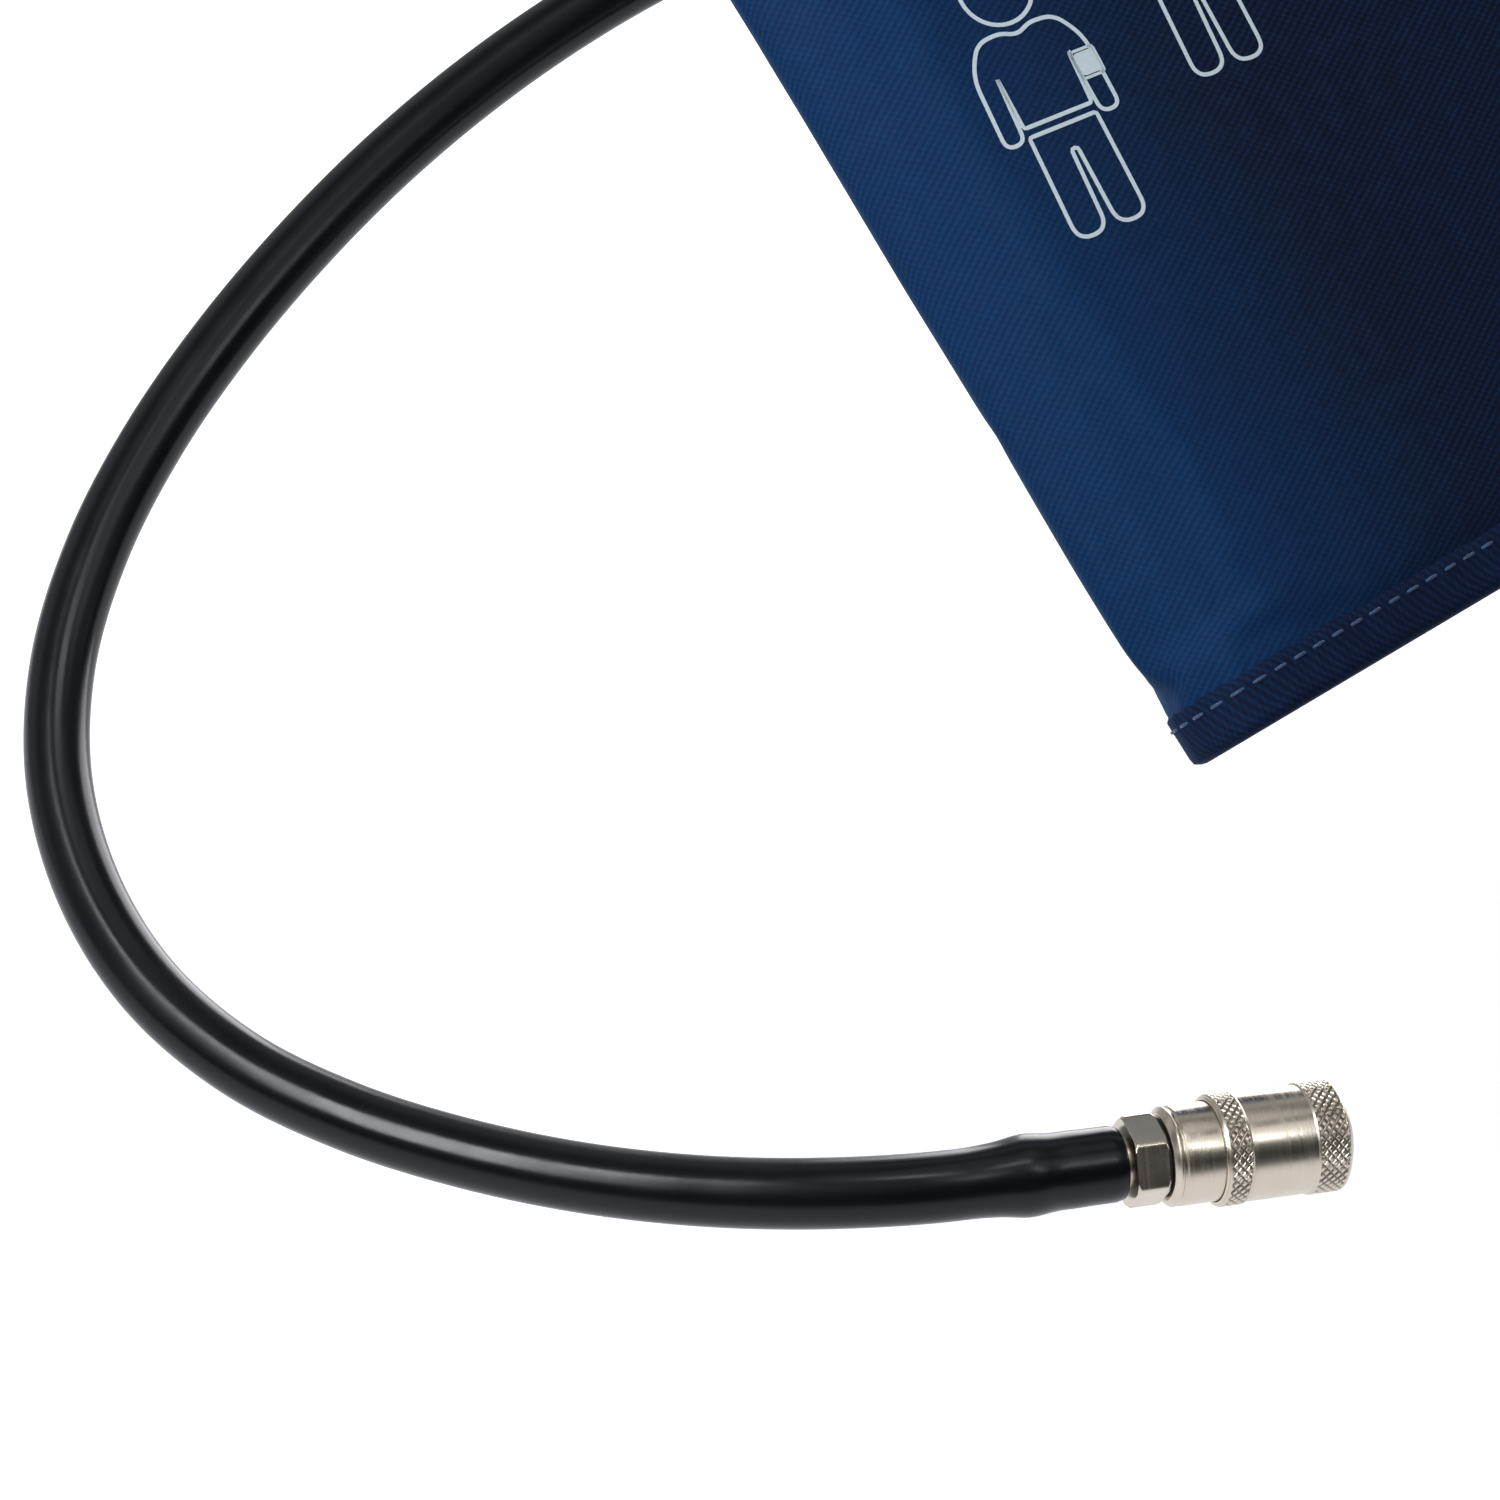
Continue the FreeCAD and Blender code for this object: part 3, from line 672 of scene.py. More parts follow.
def settle(ob, rest, held, side, movement):
    """Caps the movement along the normal and the slide across it, then writes it back."""
    swell_cap = np.where(side > 0, 1.3, 0.35)
    sink_cap = np.where(side > 0, -1.2, -0.8)
    slide_cap = 0.5
    normals = read_vertices(ob.data, "normal")
    along = (movement * normals).sum(1)
    slide = movement - normals * along[:, None]
    along = np.where(along > 0, swell_cap * np.tanh(along / swell_cap),
                     sink_cap * np.tanh(along / sink_cap))
    slid = np.linalg.norm(slide, axis=1)[:, None]
    slide = slide * np.minimum(1.0, slide_cap / np.maximum(slid, 1e-9))
    move = (normals * along[:, None] + slide) / MM
    move[held] = 0
    ob.data.vertices.foreach_set("co", (rest + move).astype(np.float32).ravel())
    ob.data.update()


def padded_wrap(wrap):
    ob, strip, rest, held, side = build_wrap(wrap)
    movement = simulate(ob, rest, held)
    settle(ob, rest, held, side, movement)
    return ob


def subdivide(ob):
    modifier = ob.modifiers.new("subdivide", "SUBSURF")
    modifier.levels = modifier.render_levels = 1
    modifier.uv_smooth = "PRESERVE_BOUNDARIES"
    bpy.context.view_layer.objects.active = ob
    ob.select_set(True)
    with bpy.context.temp_override(object=ob, active_object=ob, selected_objects=[ob]):
        bpy.ops.object.modifier_apply(modifier=modifier.name)
    ob.select_set(False)


left_cloth, right_cloth = padded_wrap(LEFT), padded_wrap(RIGHT)
for cloth in (left_cloth, right_cloth):
    subdivide(cloth)
LEFT.bend(left_cloth)
RIGHT.bend(right_cloth)
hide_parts("back_cover", "flap_cover", "flap_padding", "flap_lining")
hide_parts("back_lining", "bladder_back", "inner_cover", "inner_lining",
            "bladder_inner")

# ------------------------------------------------------------------ binding tape
TAPE = 0.62         # tape thickness
TAPE_STEP = 2.4
TAPE_OVERHANG = 0.9     # how far the end tapes run past the top and bottom edges


def tape_section(half_at, width):
    """Closed section (d, offset) of tape folded over an edge; d is measured in from the edge."""
    edge = half_at(0)
    top = [(width + 0.05, half_at(width) + 0.05)]
    for d in (width - 0.5, width * 0.75, width * 0.5, width * 0.25, 0.8):
        top.append((d, half_at(d) + TAPE))
    nose = [(-0.2, edge + TAPE * 0.7), (-0.75, edge * 0.6), (-0.95, 0.0),
            (-0.75, -edge * 0.6), (-0.2, -edge - TAPE * 0.7)]
    bottom = [(d, -offset) for d, offset in reversed(top)]
    inside = [(width - 0.6, -half_at(width) + 0.25), (2.0, -half_at(2.0) + 0.3),
              (2.0, half_at(2.0) - 0.3), (width - 0.6, half_at(width) - 0.25)]
    return top + nose + bottom + inside


def tape_mesh(name, sections, lengths):
    """sections holds one list of (u, v, n) points for each length along the tape."""
    cols = len(sections[0])
    uv = [(length / MM, (k * 0.9 + 300) / MM) for length in lengths for k in range(cols)]
    return add_mesh(name, to_world(np.vstack(sections)),
                    tube_faces(len(sections), cols, flip_caps=True), [BINDING], uv, sharp=55)


def tape_along_edge(wrap, word, top):
    """Tape over the top or bottom edge of a wrap, round its fold."""
    s_end = wrap.total - 0.6
    even = np.linspace(0.0, s_end, max(2, int(s_end / TAPE_STEP) + 1))
    stations = np.unique(np.concatenate([even, wrap.s[(wrap.s > 0.0) & (wrap.s < s_end)]]))
    stations = stations[np.concatenate([[True], np.diff(stations) > 0.35])]
    ripple = 0.10 * np.sin(stations * 1.75) + 0.06 * np.sin(stations * 0.61 + 1.0)
    sections = []
    for s, rip, mid, out in zip(stations, ripple, *wrap.at(stations)):
        def half_at(d):
            return float(wrap.half_at(s, max(d, 0.0)))
        points = []
        for d, offset in tape_section(half_at, 7.4 + rip):
            rise = rip * 0.5 * np.sign(offset) if abs(offset) > 0.5 else 0
            q = mid + out * (offset + rise)
            points.append((q[0], CUFF_HEIGHT - d if top else d, q[1]))
        sections.append(points)
    return tape_mesh("tape_%s_%s" % (wrap.word, word), sections, stations)


def tape_free_end(name, wrap):
    heights = np.linspace(-TAPE_OVERHANG, CUFF_HEIGHT + TAPE_OVERHANG,
                          int(CUFF_HEIGHT / TAPE_STEP))
    sections = []
    for v in heights:
        on_cloth = min(max(v, 0.0), CUFF_HEIGHT)
        # room for the edge tape underneath
        extra = 0.35 if min(on_cloth, CUFF_HEIGHT - on_cloth) < 7.5 else 0.1

        def half_at(d):
            return float(wrap.half_at(wrap.total - max(d, 0.0), on_cloth)) + extra
        points = []
        for d, offset in tape_section(half_at, 7.6 + 0.10 * math.sin(v * 1.6)):
            mid, out = wrap.at([wrap.total - max(d, 0.0)])
            q = mid[0] + out[0] * offset
            if d < 0:
                q[0] += wrap.open_way * -d
            points.append((q[0], v, q[1]))
        sections.append(points)
    return tape_mesh(name, sections, heights)


for wrap in (LEFT, RIGHT):
    for word, top in (("bottom", False), ("top", True)):
        tape = tape_along_edge(wrap, word, top)
        wrap.bend(tape)
fit(tape_free_end("tape_flap_end", LEFT), "flap", "flap_edge_binding")
fit(tape_free_end("tape_inner_end", RIGHT), "inner_panel", "inner_edge_binding")
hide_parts("back_edge_binding")

# ------------------------------------------------------------------ stitching
STITCH_PITCH = 3.5
STITCH_INSET = 5.4      # from a taped edge
STITCH_LENGTH, STITCH_WIDTH, STITCH_HEIGHT = 2.5, 0.55, 0.42
# stations along one stitch: place, radius, height, each as a share of the size
STITCH_STATIONS = [(-0.5, 0.25, -0.5), (-0.36, 0.85, 0.0), (0.0, 1.0, 0.35), (0.36, 0.85, 0.0),
                   (0.5, 0.25, -0.5)]
STITCH_SIDES = 6


def stitch_template():
    """Vertices of a flattened, slightly arched stitch: long axis x, standing up in z."""
    verts = []
    for along, radius, rise in STITCH_STATIONS:
        for a in np.linspace(0, 2 * math.pi, STITCH_SIDES, endpoint=False):
            verts.append((along * STITCH_LENGTH, radius * STITCH_WIDTH / 2 * math.cos(a),
                          rise * STITCH_HEIGHT + radius * STITCH_HEIGHT / 2 * math.sin(a)))
    return np.array(verts)


STITCH_VERTS = stitch_template()
STITCH_FACES = tube_faces(len(STITCH_STATIONS), STITCH_SIDES)


def stitch_mesh(name, places):
    """places: list of (point, along, up) in cuff coordinates."""
    verts, faces = [], []
    for point, along, up in places:
        along = along / np.linalg.norm(along)
        up = up - along * (up @ along)
        up /= np.linalg.norm(up)
        across = np.cross(up, along)
        base = len(verts) * len(STITCH_VERTS)
        x, y, z = STITCH_VERTS[:, :1], STITCH_VERTS[:, 1:2], STITCH_VERTS[:, 2:3]
        verts.append(point + x * along + y * across + z * up)
        faces += [tuple(base + k for k in face) for face in STITCH_FACES]
    return add_mesh(name, to_world(np.vstack(verts)), faces, [THREAD], outward=False)


def outward_at(wrap, s, side):
    out = wrap.at([s])[1][0]
    return np.array([out[0] * side, 0, out[1] * side])


def edge_stitches(wrap):
    """Stitches along the top and bottom tapes, on both faces."""
    lift = TAPE + 0.02
    places = []
    for s in np.arange(2.0, wrap.total - 8.5, STITCH_PITCH):
        for v in (STITCH_INSET, CUFF_HEIGHT - STITCH_INSET):
            for side in (1, -1):
                p = wrap.point([s], [v], side, lift)[0]
                ahead = wrap.point([s + 0.5], [v], side, lift)[0]
                places.append((p, ahead - p, outward_at(wrap, s, side)))
    return places


def end_stitches(wrap):
    """Stitches along the tape of the free end, on both faces."""
    s = wrap.total - STITCH_INSET
    places = []
    for v in np.arange(3.0, CUFF_HEIGHT - 2.0, STITCH_PITCH):
        for side in (1, -1):
            p = wrap.point([s], [v], side, TAPE + 0.2)[0]
            places.append((p, np.array([0, 1.0, 0]), outward_at(wrap, s, side)))
    return places


for wrap in (LEFT, RIGHT):
    wrap.bend(stitch_mesh("stitches_" + wrap.word, edge_stitches(wrap)))
fit(stitch_mesh("stitches_flap_end", end_stitches(LEFT)), "flap")
fit(stitch_mesh("stitches_inner_end", end_stitches(RIGHT)), "inner_panel")

# ------------------------------------------------------------------ hook and loop patches
PATCH_STEP = 1.6
PATCH_RISE = 0.95       # how far a patch face stands off its cloth
# (u from, u to, v from, v to)
HOOK_AREA = (FLAP_END_U - 46, FLAP_END_U - 12, 20, CUFF_HEIGHT - 20)
LOOP_AREA = (INNER_END_U + 12, CUFF_WIDTH - RIGHT_FOLD_R - 8, 16, CUFF_HEIGHT - 16)
HOOK_FACE_N = FLAP_INSIDE_N - PATCH_RISE
LOOP_FACE_N = INNER_N + PATCH_RISE


def patch(name, area, base_n, face_n, material, corner, relief, seed):
    """A thin patch with rounded corners and a slightly rough face, standing on base_n."""
    u0, u1, v0, v1 = area
    nu, nv = int((u1 - u0) / PATCH_STEP), int((v1 - v0) / PATCH_STEP)
    grid_u, grid_v = np.meshgrid(np.linspace(u0, u1, nu), np.linspace(v0, v1, nv), indexing="ij")
    mid_u, mid_v = (u0 + u1) / 2, (v0 + v1) / 2
    flat_u, flat_v = (u1 - u0) / 2 - corner, (v1 - v0) / 2 - corner
    x, y = grid_u - mid_u, grid_v - mid_v
    # pull the square corners in to the corner radius
    over_x, over_y = np.maximum(np.abs(x) - flat_u, 0), np.maximum(np.abs(y) - flat_v, 0)
    pull = np.maximum(over_x, over_y) / np.maximum(np.hypot(over_x, over_y), 1e-9)
    in_corner = (over_x > 0) & (over_y > 0)
    x = np.where(in_corner, np.sign(x) * (flat_u + over_x * pull), x)
    y = np.where(in_corner, np.sign(y) * (flat_v + over_y * pull), y)
    over = np.hypot(np.maximum(np.abs(x) - flat_u, 0), np.maximum(np.abs(y) - flat_v, 0))
    from_edge = np.minimum(corner - over, 3.0)
    rise = np.clip(from_edge / 0.8, 0, 1) ** 0.5
    rough = np.random.default_rng(seed).uniform(-1, 1, x.shape) * (rise > 0.9)
    face = base_n + (face_n - base_n) * (0.35 + 0.65 * rise) + relief * rough
    verts = np.vstack([np.stack([mid_u + x, mid_v + y, level], -1).reshape(-1, 3)
                       for level in (face, np.full_like(x, base_n))])
    return add_mesh(name, to_world(verts), slab_faces(nu, nv), [material], verts[:, :2] / MM)


def ring_stitches(area, n, up):
    """Stitches just inside the border of a patch."""
    u0, u1, v0, v1 = area
    inset = 2.0
    places = []
    for u in np.arange(u0 + 4, u1 - 3, STITCH_PITCH):
        for v in (v0 + inset, v1 - inset):
            places.append((np.array([u, v, n]), np.array([1.0, 0, 0]), np.array([0, 0, up])))
    for v in np.arange(v0 + 4, v1 - 3, STITCH_PITCH):
        for u in (u0 + inset, u1 - inset):
            places.append((np.array([u, v, n]), np.array([0, 1.0, 0]), np.array([0, 0, up])))
    return places


def seam_stitches():
    """Two rows, one each side of the seam on the back panel."""
    places = []
    for v in np.arange(9.0, CUFF_HEIGHT - 8, STITCH_PITCH):
        for du in (-2.2, 2.2):
            places.append((np.array([SEAM_U + du, v, BACK_N + 0.15]), np.array([0, 1.0, 0]),
                           np.array([0, 0, -1.0])))
    return places


fit(patch("hook_patch_face", HOOK_AREA, FLAP_INSIDE_N + 0.5, HOOK_FACE_N, HOOK_TAPE,
          corner=4.0, relief=0.10, seed=2), "flap", "hook_patch")
fit(patch("loop_patch_face", LOOP_AREA, INNER_N - 0.6, LOOP_FACE_N, LOOP_PILE,
          corner=5.0, relief=0.16, seed=3), "inner_panel", "loop_patch")
fit(stitch_mesh("stitches_hook", ring_stitches(HOOK_AREA, HOOK_FACE_N, up=-1.0)), "flap")
fit(stitch_mesh("stitches_loop", ring_stitches(LOOP_AREA, LOOP_FACE_N, up=1.0)), "inner_panel")
fit(stitch_mesh("stitches_back_seam", seam_stitches()), "back_panel")

# ------------------------------------------------------------------ printed figures on the flap
PRINT_LINE = 0.64       # width of a printed line
FIGURE_TILT = -5.2      # degrees
FIGURE_SCALE = 0.95
FIGURES = [((25.8, 72.4), False), ((55.9, 85.3), True)]     # (u, v) of the feet, mirrored

# Figure outlines as (x, y) in mm before scaling, feet at y = 0, with a radius for each corner.
HEAD_CENTRE_Y, HEAD_RADIUS = 41.4, 6.0
UPPER_BODY = [
    (-10.2, 17.2), (-9.9, 29.6), (-6.8, 34.3), (-2.6, 34.5), (0.0, 33.3), (2.6, 34.5),
    (6.8, 34.3), (9.9, 29.6), (10.2, 17.2), (6.9, 17.2), (6.4, 28.2), (6.1, 19.2),
    (-6.1, 19.2), (-6.4, 28.2), (-6.9, 17.2)]
UPPER_RADII = [1.7, 5.0, 3.2, 1.2, 1.6, 1.2, 3.2, 5.0, 1.7, 1.6, 0.25, 0.5, 0.5, 0.25, 1.6]
LEGS = [(-6.0, 17.6), (6.0, 17.6), (6.3, 0.0), (1.0, 0.0), (0.55, 13.6), (-0.55, 13.6),
        (-1.0, 0.0), (-6.3, 0.0)]
LEG_RADII = [0.4, 0.4, 2.6, 2.6, 0.5, 0.5, 2.6, 2.6]
ARM_BAND = [(6.75, 27.2), (10.05, 27.2), (10.15, 23.4), (6.9, 23.4)]
ARM_BAND_BORDER = [(6.4, 27.6), (10.4, 27.6), (10.5, 23.0), (6.6, 23.0)]


def resample_loop(points, step):
    p = np.vstack([points, points[:1]])
    s = arc_length(p)
    t = np.linspace(0, s[-1], max(3, int(round(s[-1] / step))) + 1)
    return np.stack([np.interp(t, s, p[:, k]) for k in (0, 1)], 1)[:-1]


class Print:
    """Collects ink laid on the surface of an object, from outlines in (u, v)."""

    def __init__(self, ob):
        self.tree = BVHTree.FromPolygons([tuple(c) for c in read_vertices(ob.data, "co")],
                                         [tuple(p.vertices) for p in ob.data.polygons])
        self.verts, self.faces = [], []

    def drop(self, q, lift):
        """Adds the surface point under (u, v), lifted by mm."""
        u, v = q
        hit = self.tree.ray_cast(Vector(world_point(u, v, 30.0)), Vector(-N_DIR))[0]
        place = np.array(hit) if hit is not None else to_world([u, v, FLAP_N])[0]
        self.verts.append(place + N_DIR * lift / MM)

    def stroke(self, outline, width):
        p = resample_loop(outline, step=0.45)
        way = np.roll(p, -1, 0) - np.roll(p, 1, 0)
        way /= np.linalg.norm(way, axis=1)[:, None]
        across = np.stack([-way[:, 1], way[:, 0]], 1)
        base, n = len(self.verts), len(p)
        for i in range(n):
            for offset in (-0.5, 0.0, 0.5):
                self.drop(p[i] + across[i] * width * offset, lift=0.045)
        for i in range(n):
            a, b = base + 3 * i, base + 3 * ((i + 1) % n)
            self.faces.append((a, b, b + 1, a + 1))
            self.faces.append((a + 1, b + 1, b + 2, a + 2))

    def fill(self, outline):
        """Fills an outline with rings shrinking to its middle."""
        lift = 0.07
        p = resample_loop(outline, step=0.5)
        centre = p.mean(0)
        base, n = len(self.verts), len(p)
        for share in (1.0, 0.66, 0.33):
            for q in p:
                self.drop(centre + (q - centre) * share, lift)
        self.drop(centre, lift)
        self.faces += grid_print_faces(base, n)
        last = len(self.verts) - 1
        for i in range(n):
            self.faces.append((base + 2 * n + i, base + 2 * n + (i + 1) % n, last))


def grid_print_faces(base, n):
    return grid_faces(3, n, base, close_cols=True)


def draw_figure(ink, feet, mirror):
    """A standing figure seen from the front, with a filled band round one upper arm."""
    a = math.radians(FIGURE_TILT)
    x_way = np.array([math.cos(a), math.sin(a)])
    y_way = np.array([-math.sin(a), math.cos(a)])

    def place(points):
        p = np.array(points, float) * FIGURE_SCALE
        if mirror:
            p[:, 0] *= -1
        return np.array(feet) + p[:, :1] * x_way + p[:, 1:2] * y_way

    def rounded(points, radii):
        return place(round_corners(points, radii, share=0.49, samples=7, closed=True))

    t = np.linspace(0, 2 * math.pi, 48, endpoint=False)
    head = np.stack([HEAD_RADIUS * np.cos(t), HEAD_CENTRE_Y + HEAD_RADIUS * np.sin(t)], 1)
    ink.stroke(place(head), PRINT_LINE)
    ink.stroke(rounded(UPPER_BODY, UPPER_RADII), PRINT_LINE)
    ink.stroke(rounded(LEGS, LEG_RADII), PRINT_LINE)
    ink.fill(rounded(ARM_BAND, 0.4))
    ink.stroke(rounded(ARM_BAND_BORDER, 0.5), PRINT_LINE * 0.7)


def printed_figures():
    ink = Print(left_cloth)
    for feet, mirror in FIGURES:
        draw_figure(ink, feet, mirror)
    ob = add_mesh("printed_figures", np.array(ink.verts), ink.faces, [INK], smooth=False,
                  outward=False)
    modifier = ob.modifiers.new("thickness", "SOLIDIFY")
    modifier.thickness = 0.00002
    modifier.offset = 1.0
    fit(ob, "flap")


printed_figures()

# ------------------------------------------------------------------ hose
HOSE_R = 4.75
# Centre line from the coupling, world (x, y, z) in mm. The first five points run straight.
HOSE_LINE = [
    (-31.8, 0, 0), (-36.0, 0, 0), (-41.0, 0, 0), (-46.0, 0, 0), (-50.0, 0, 0),
    (-53.99, 0.0, 0.0), (-70.81, 3.67, -0.82), (-86.51, 10.65, -1.94),
    (-101.49, 19.08, -2.18), (-115.90, 28.43, -1.21), (-129.62, 38.47, 1.05),
    (-142.71, 49.99, 5.33), (-153.09, 62.83, 12.42), (-159.44, 76.42, 22.26),
    (-161.45, 89.90, 33.92), (-158.76, 102.44, 46.54), (-151.65, 113.86, 59.87),
    (-141.51, 123.43, 72.78), (-129.42, 131.32, 85.10), (-115.99, 137.80, 96.90),
    (-101.58, 142.87, 108.06), (-89.38, 145.86, 116.38), (-76.70, 147.93, 124.03),
    (-63.47, 149.04, 131.05), (-49.82, 149.09, 137.32)]
STRAIGHT_POINTS = 5
# The port behind the cuff, and the last hose points measured from it, both as (u, v, n).
PORT = np.array([46.0, 145.0, -20.0])
HOSE_AT_PORT = [(-24.0, 1.1, -1.2), (-15.5, 0, 0), (-10.0, 0, 0), (-5.6, 0, 0)]
# Middles of the three bends: the point of HOSE_LINE and the direction of the hose there.
HOSE_BENDS = [(np.array(HOSE_LINE[index]), np.array(way)) for index, way in (
    (10, (-0.7742, 0.6080, 0.1757)), (15, (0.2709, 0.6525, 0.7077)),
    (20, (0.7888, 0.2293, 0.5702)))]
RUN_OVERLAP = 0.5


def hose_centre_line():
    """A smooth line through the hose points, straight at both ends."""
    p = np.vstack([HOSE_LINE] + [to_world(PORT + offset) * MM for offset in HOSE_AT_PORT])
    s = arc_length(p)
    tangent = np.gradient(p, s, axis=0)
    tangent[:STRAIGHT_POINTS] = (-1, 0, 0)
    tangent[-2:] = U_DIR
    out = []
    for i in range(len(p) - 1):
        h = s[i + 1] - s[i]
        for k in np.linspace(0, 1, max(2, int(h / 0.9)), endpoint=False):
            out.append((2 * k**3 - 3 * k**2 + 1) * p[i]
                       + (k**3 - 2 * k**2 + k) * h * tangent[i]
                       + (-2 * k**3 + 3 * k**2) * p[i + 1]
                       + (k**3 - k**2) * h * tangent[i + 1])
    out.append(p[-1])
    return np.array(out)


def swept(name, points, radius, material, sides=40):
    """A round bar along points; radius is one value or one for each point."""
    p = np.asarray(points, float)
    way = np.gradient(p, axis=0)
    way /= np.linalg.norm(way, axis=1)[:, None]
    x = np.cross(way[0], (0, 0, 1.0))
    x /= np.linalg.norm(x)
    t = np.linspace(0, 2 * math.pi, sides, endpoint=False)
    verts = []
    for centre, d, r in zip(p, way, np.broadcast_to(radius, len(p))):
        x = x - d * (x @ d)
        x /= np.linalg.norm(x)
        y = np.cross(d, x)
        verts.append(centre + r * (np.cos(t)[:, None] * x + np.sin(t)[:, None] * y))
    return add_mesh(name, np.vstack(verts) / MM, tube_faces(len(p), sides), [material], sharp=60)


def hose_radius(s, total):
    """Outside radius along the hose: swollen over the coupling tail and again at the port."""
    r = np.full_like(s, HOSE_R)
    r = np.where(s < 24, HOSE_R + 0.42 * (1 - smooth01((s - 13.5) / 8.5)), r)
    r += 0.42 * np.exp(-((s - 12.9) / 2.6) ** 2)
    r += 0.06 * np.exp(-((s - 6.8) / 1.6) ** 2)
    r -= 0.28 * np.exp(-(s / 0.45) ** 2)
    back = total - s
    r += np.where(back < 16, 0.35 * (1 - smooth01((back - 9) / 5.0)), 0)
    r -= 0.25 * np.exp(-(back / 0.5) ** 2)
    return r


def build_hose():
    """Three runs, one round each bend, cut halfway between the bends."""
    centre = hose_centre_line()
    s = arc_length(centre)
    at_bend = [s[np.argmin(np.linalg.norm(centre - middle, axis=1))] for middle, _ in HOSE_BENDS]
    cuts = [0.0, (at_bend[0] + at_bend[1]) / 2, (at_bend[1] + at_bend[2]) / 2, s[-1]]
    runs = [("hose_lower_run", ("hose_segment_1",)),
            ("hose_middle_run", ("hose_segment_2", "hose_segment_3")),
            ("hose_upper_run", ("hose_segment_4",))]
    for i, (name, replaced) in enumerate(runs):
        k = (s >= cuts[i] - RUN_OVERLAP) & (s <= cuts[i + 1] + RUN_OVERLAP)
        ob = swept(name, centre[k], hose_radius(s[k], s[-1]), HOSE_RUBBER)
        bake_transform(ob)
        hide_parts(*replaced)


build_hose()

# ------------------------------------------------------------------ coupling
KNURL_R = 7.65
SLEEVE_R = 7.42         # plain part of the sleeve
BODY_R = 6.8            # rear of the body
# closed outlines as (x, radius)
SLEEVE_OUTLINE = [
    (-0.8, 6.64), (-0.8, 7.0), (-1.15, 7.34), (-1.3, SLEEVE_R), (-18.45, SLEEVE_R),
    (-18.9, 7.1), (-18.9, 6.9), (-6.5, 6.9), (-6.5, 5.85), (-4.5, 5.85)]
BODY_OUTLINE = [
    (0.0, 4.1), (0.0, 5.45), (-0.3, 5.75), (-1.8, 5.75), (-1.8, 5.2), (-2.6, 5.2),
    (-2.6, 5.75), (-14.0, 5.75), (-14.0, BODY_R), (-24.15, BODY_R), (-24.3, BODY_R - 0.25),
    (-24.7, BODY_R - 0.25), (-24.85, BODY_R), (-25.1, BODY_R), (-25.9, BODY_R - 0.8),
    (-25.9, 4.25), (-13.2, 4.25), (-13.2, 2.4), (-12.0, 2.4), (-12.0, 4.0), (-10.9, 4.0),
    (-10.9, 4.75), (-9.1, 4.75), (-9.1, 4.0), (-3.0, 4.0), (-3.0, 3.8), (-0.3, 3.8)]
BARB_OUTLINE = [
    (-23.8, 1.6), (-23.8, 3.9), (-24.1, 4.2), (-26.5, 4.2), (-26.5, 3.6), (-31.4, 3.6),
    (-31.8, 2.6), (-34.5, 2.6), (-34.6, 3.1), (-37.5, 2.7), (-40.0, 2.7), (-40.1, 3.1),
    (-43.0, 2.7), (-45.0, 2.7), (-45.1, 3.1), (-50.0, 2.3), (-50.0, 1.6)]


def around_x(x, radius, angle):
    """Points in metres at a radius and angle about the X axis."""
    parts = np.broadcast_arrays(x, -radius * np.sin(angle), radius * np.cos(angle))
    return np.stack(parts, -1).reshape(-1, 3) / MM


def lathe(name, outline, segments, rounding):
    """Revolves a closed (x, radius) outline about X, with its corners rounded."""
    # starting halfway along the first side lets every corner be rounded
    middle = tuple((np.array(outline[0]) + np.array(outline[1])) / 2)
    ring = [middle, *outline[1:], outline[0], middle]
    q = round_corners(ring, rounding, share=0.45, samples=4, closed=False)[:-1]
    angle = np.linspace(0, 2 * math.pi, segments, endpoint=False)
    verts = around_x(q[:, :1], q[:, 1:], angle)
    faces = ring_faces(len(q), segments, closing=(len(q) - 1, 0))
    return add_mesh(name, verts, faces, [NICKEL], sharp=50)


def bored_bar(name, outside, rows, angle, x_first, x_last, bore, material, uv, sharp):
    """Closes an outside surface running from x_first to x_last with a plain bore."""
    verts = np.vstack([outside] + [around_x(x, bore, angle) for x in (x_last, x_first)])
    faces = ring_faces(rows, len(angle), closing=(rows - 1, rows, rows + 1, 0))
    return add_mesh(name, verts, faces, [material], uv, sharp=sharp)


def triangle_wave(t):
    return 1 - np.abs(2 * (t - np.floor(t)) - 1)


def knurled(name, x_front, x_rear):
    """Long diamonds between two crossing sets of grooves, one set cut deeper."""
    count, pitch = 34, 1.18     # grooves round the band, x length of one cycle
    depth, chamfer = 0.30, 0.32
    border, border_ease = 0.30, 0.22    # plain rim at each end
    rows = int(abs(x_rear - x_front) / 0.085)
    angle = np.linspace(0, 2 * math.pi, count * 14, endpoint=False)
    x, t = np.meshgrid(np.linspace(x_front, x_rear, rows), angle, indexing="ij")
    turns = t * count / (2 * math.pi)
    deep = np.minimum(triangle_wave(turns + x / pitch) * 2.1, 1)
    shallow = 0.25 + 0.75 * np.minimum(triangle_wave(turns - x / pitch) * 2.1, 1)
    from_end = np.minimum(np.abs(x - x_front), np.abs(x - x_rear))
    cut = np.clip((from_end - border) / border_ease, 0, 1)
    height = 1 - (1 - np.minimum(deep, shallow)) * cut
    radius = KNURL_R - depth * (1 - height) - np.maximum(chamfer - from_end, 0) * 0.7
    uv = np.ones((height.size + 2 * len(angle), 2))
    uv[:height.size, 0] = height.ravel()
    return bored_bar(name, around_x(x, radius, t), rows, angle, x_front, x_rear, bore=7.25,
                     material=KNURL, uv=uv, sharp=28)


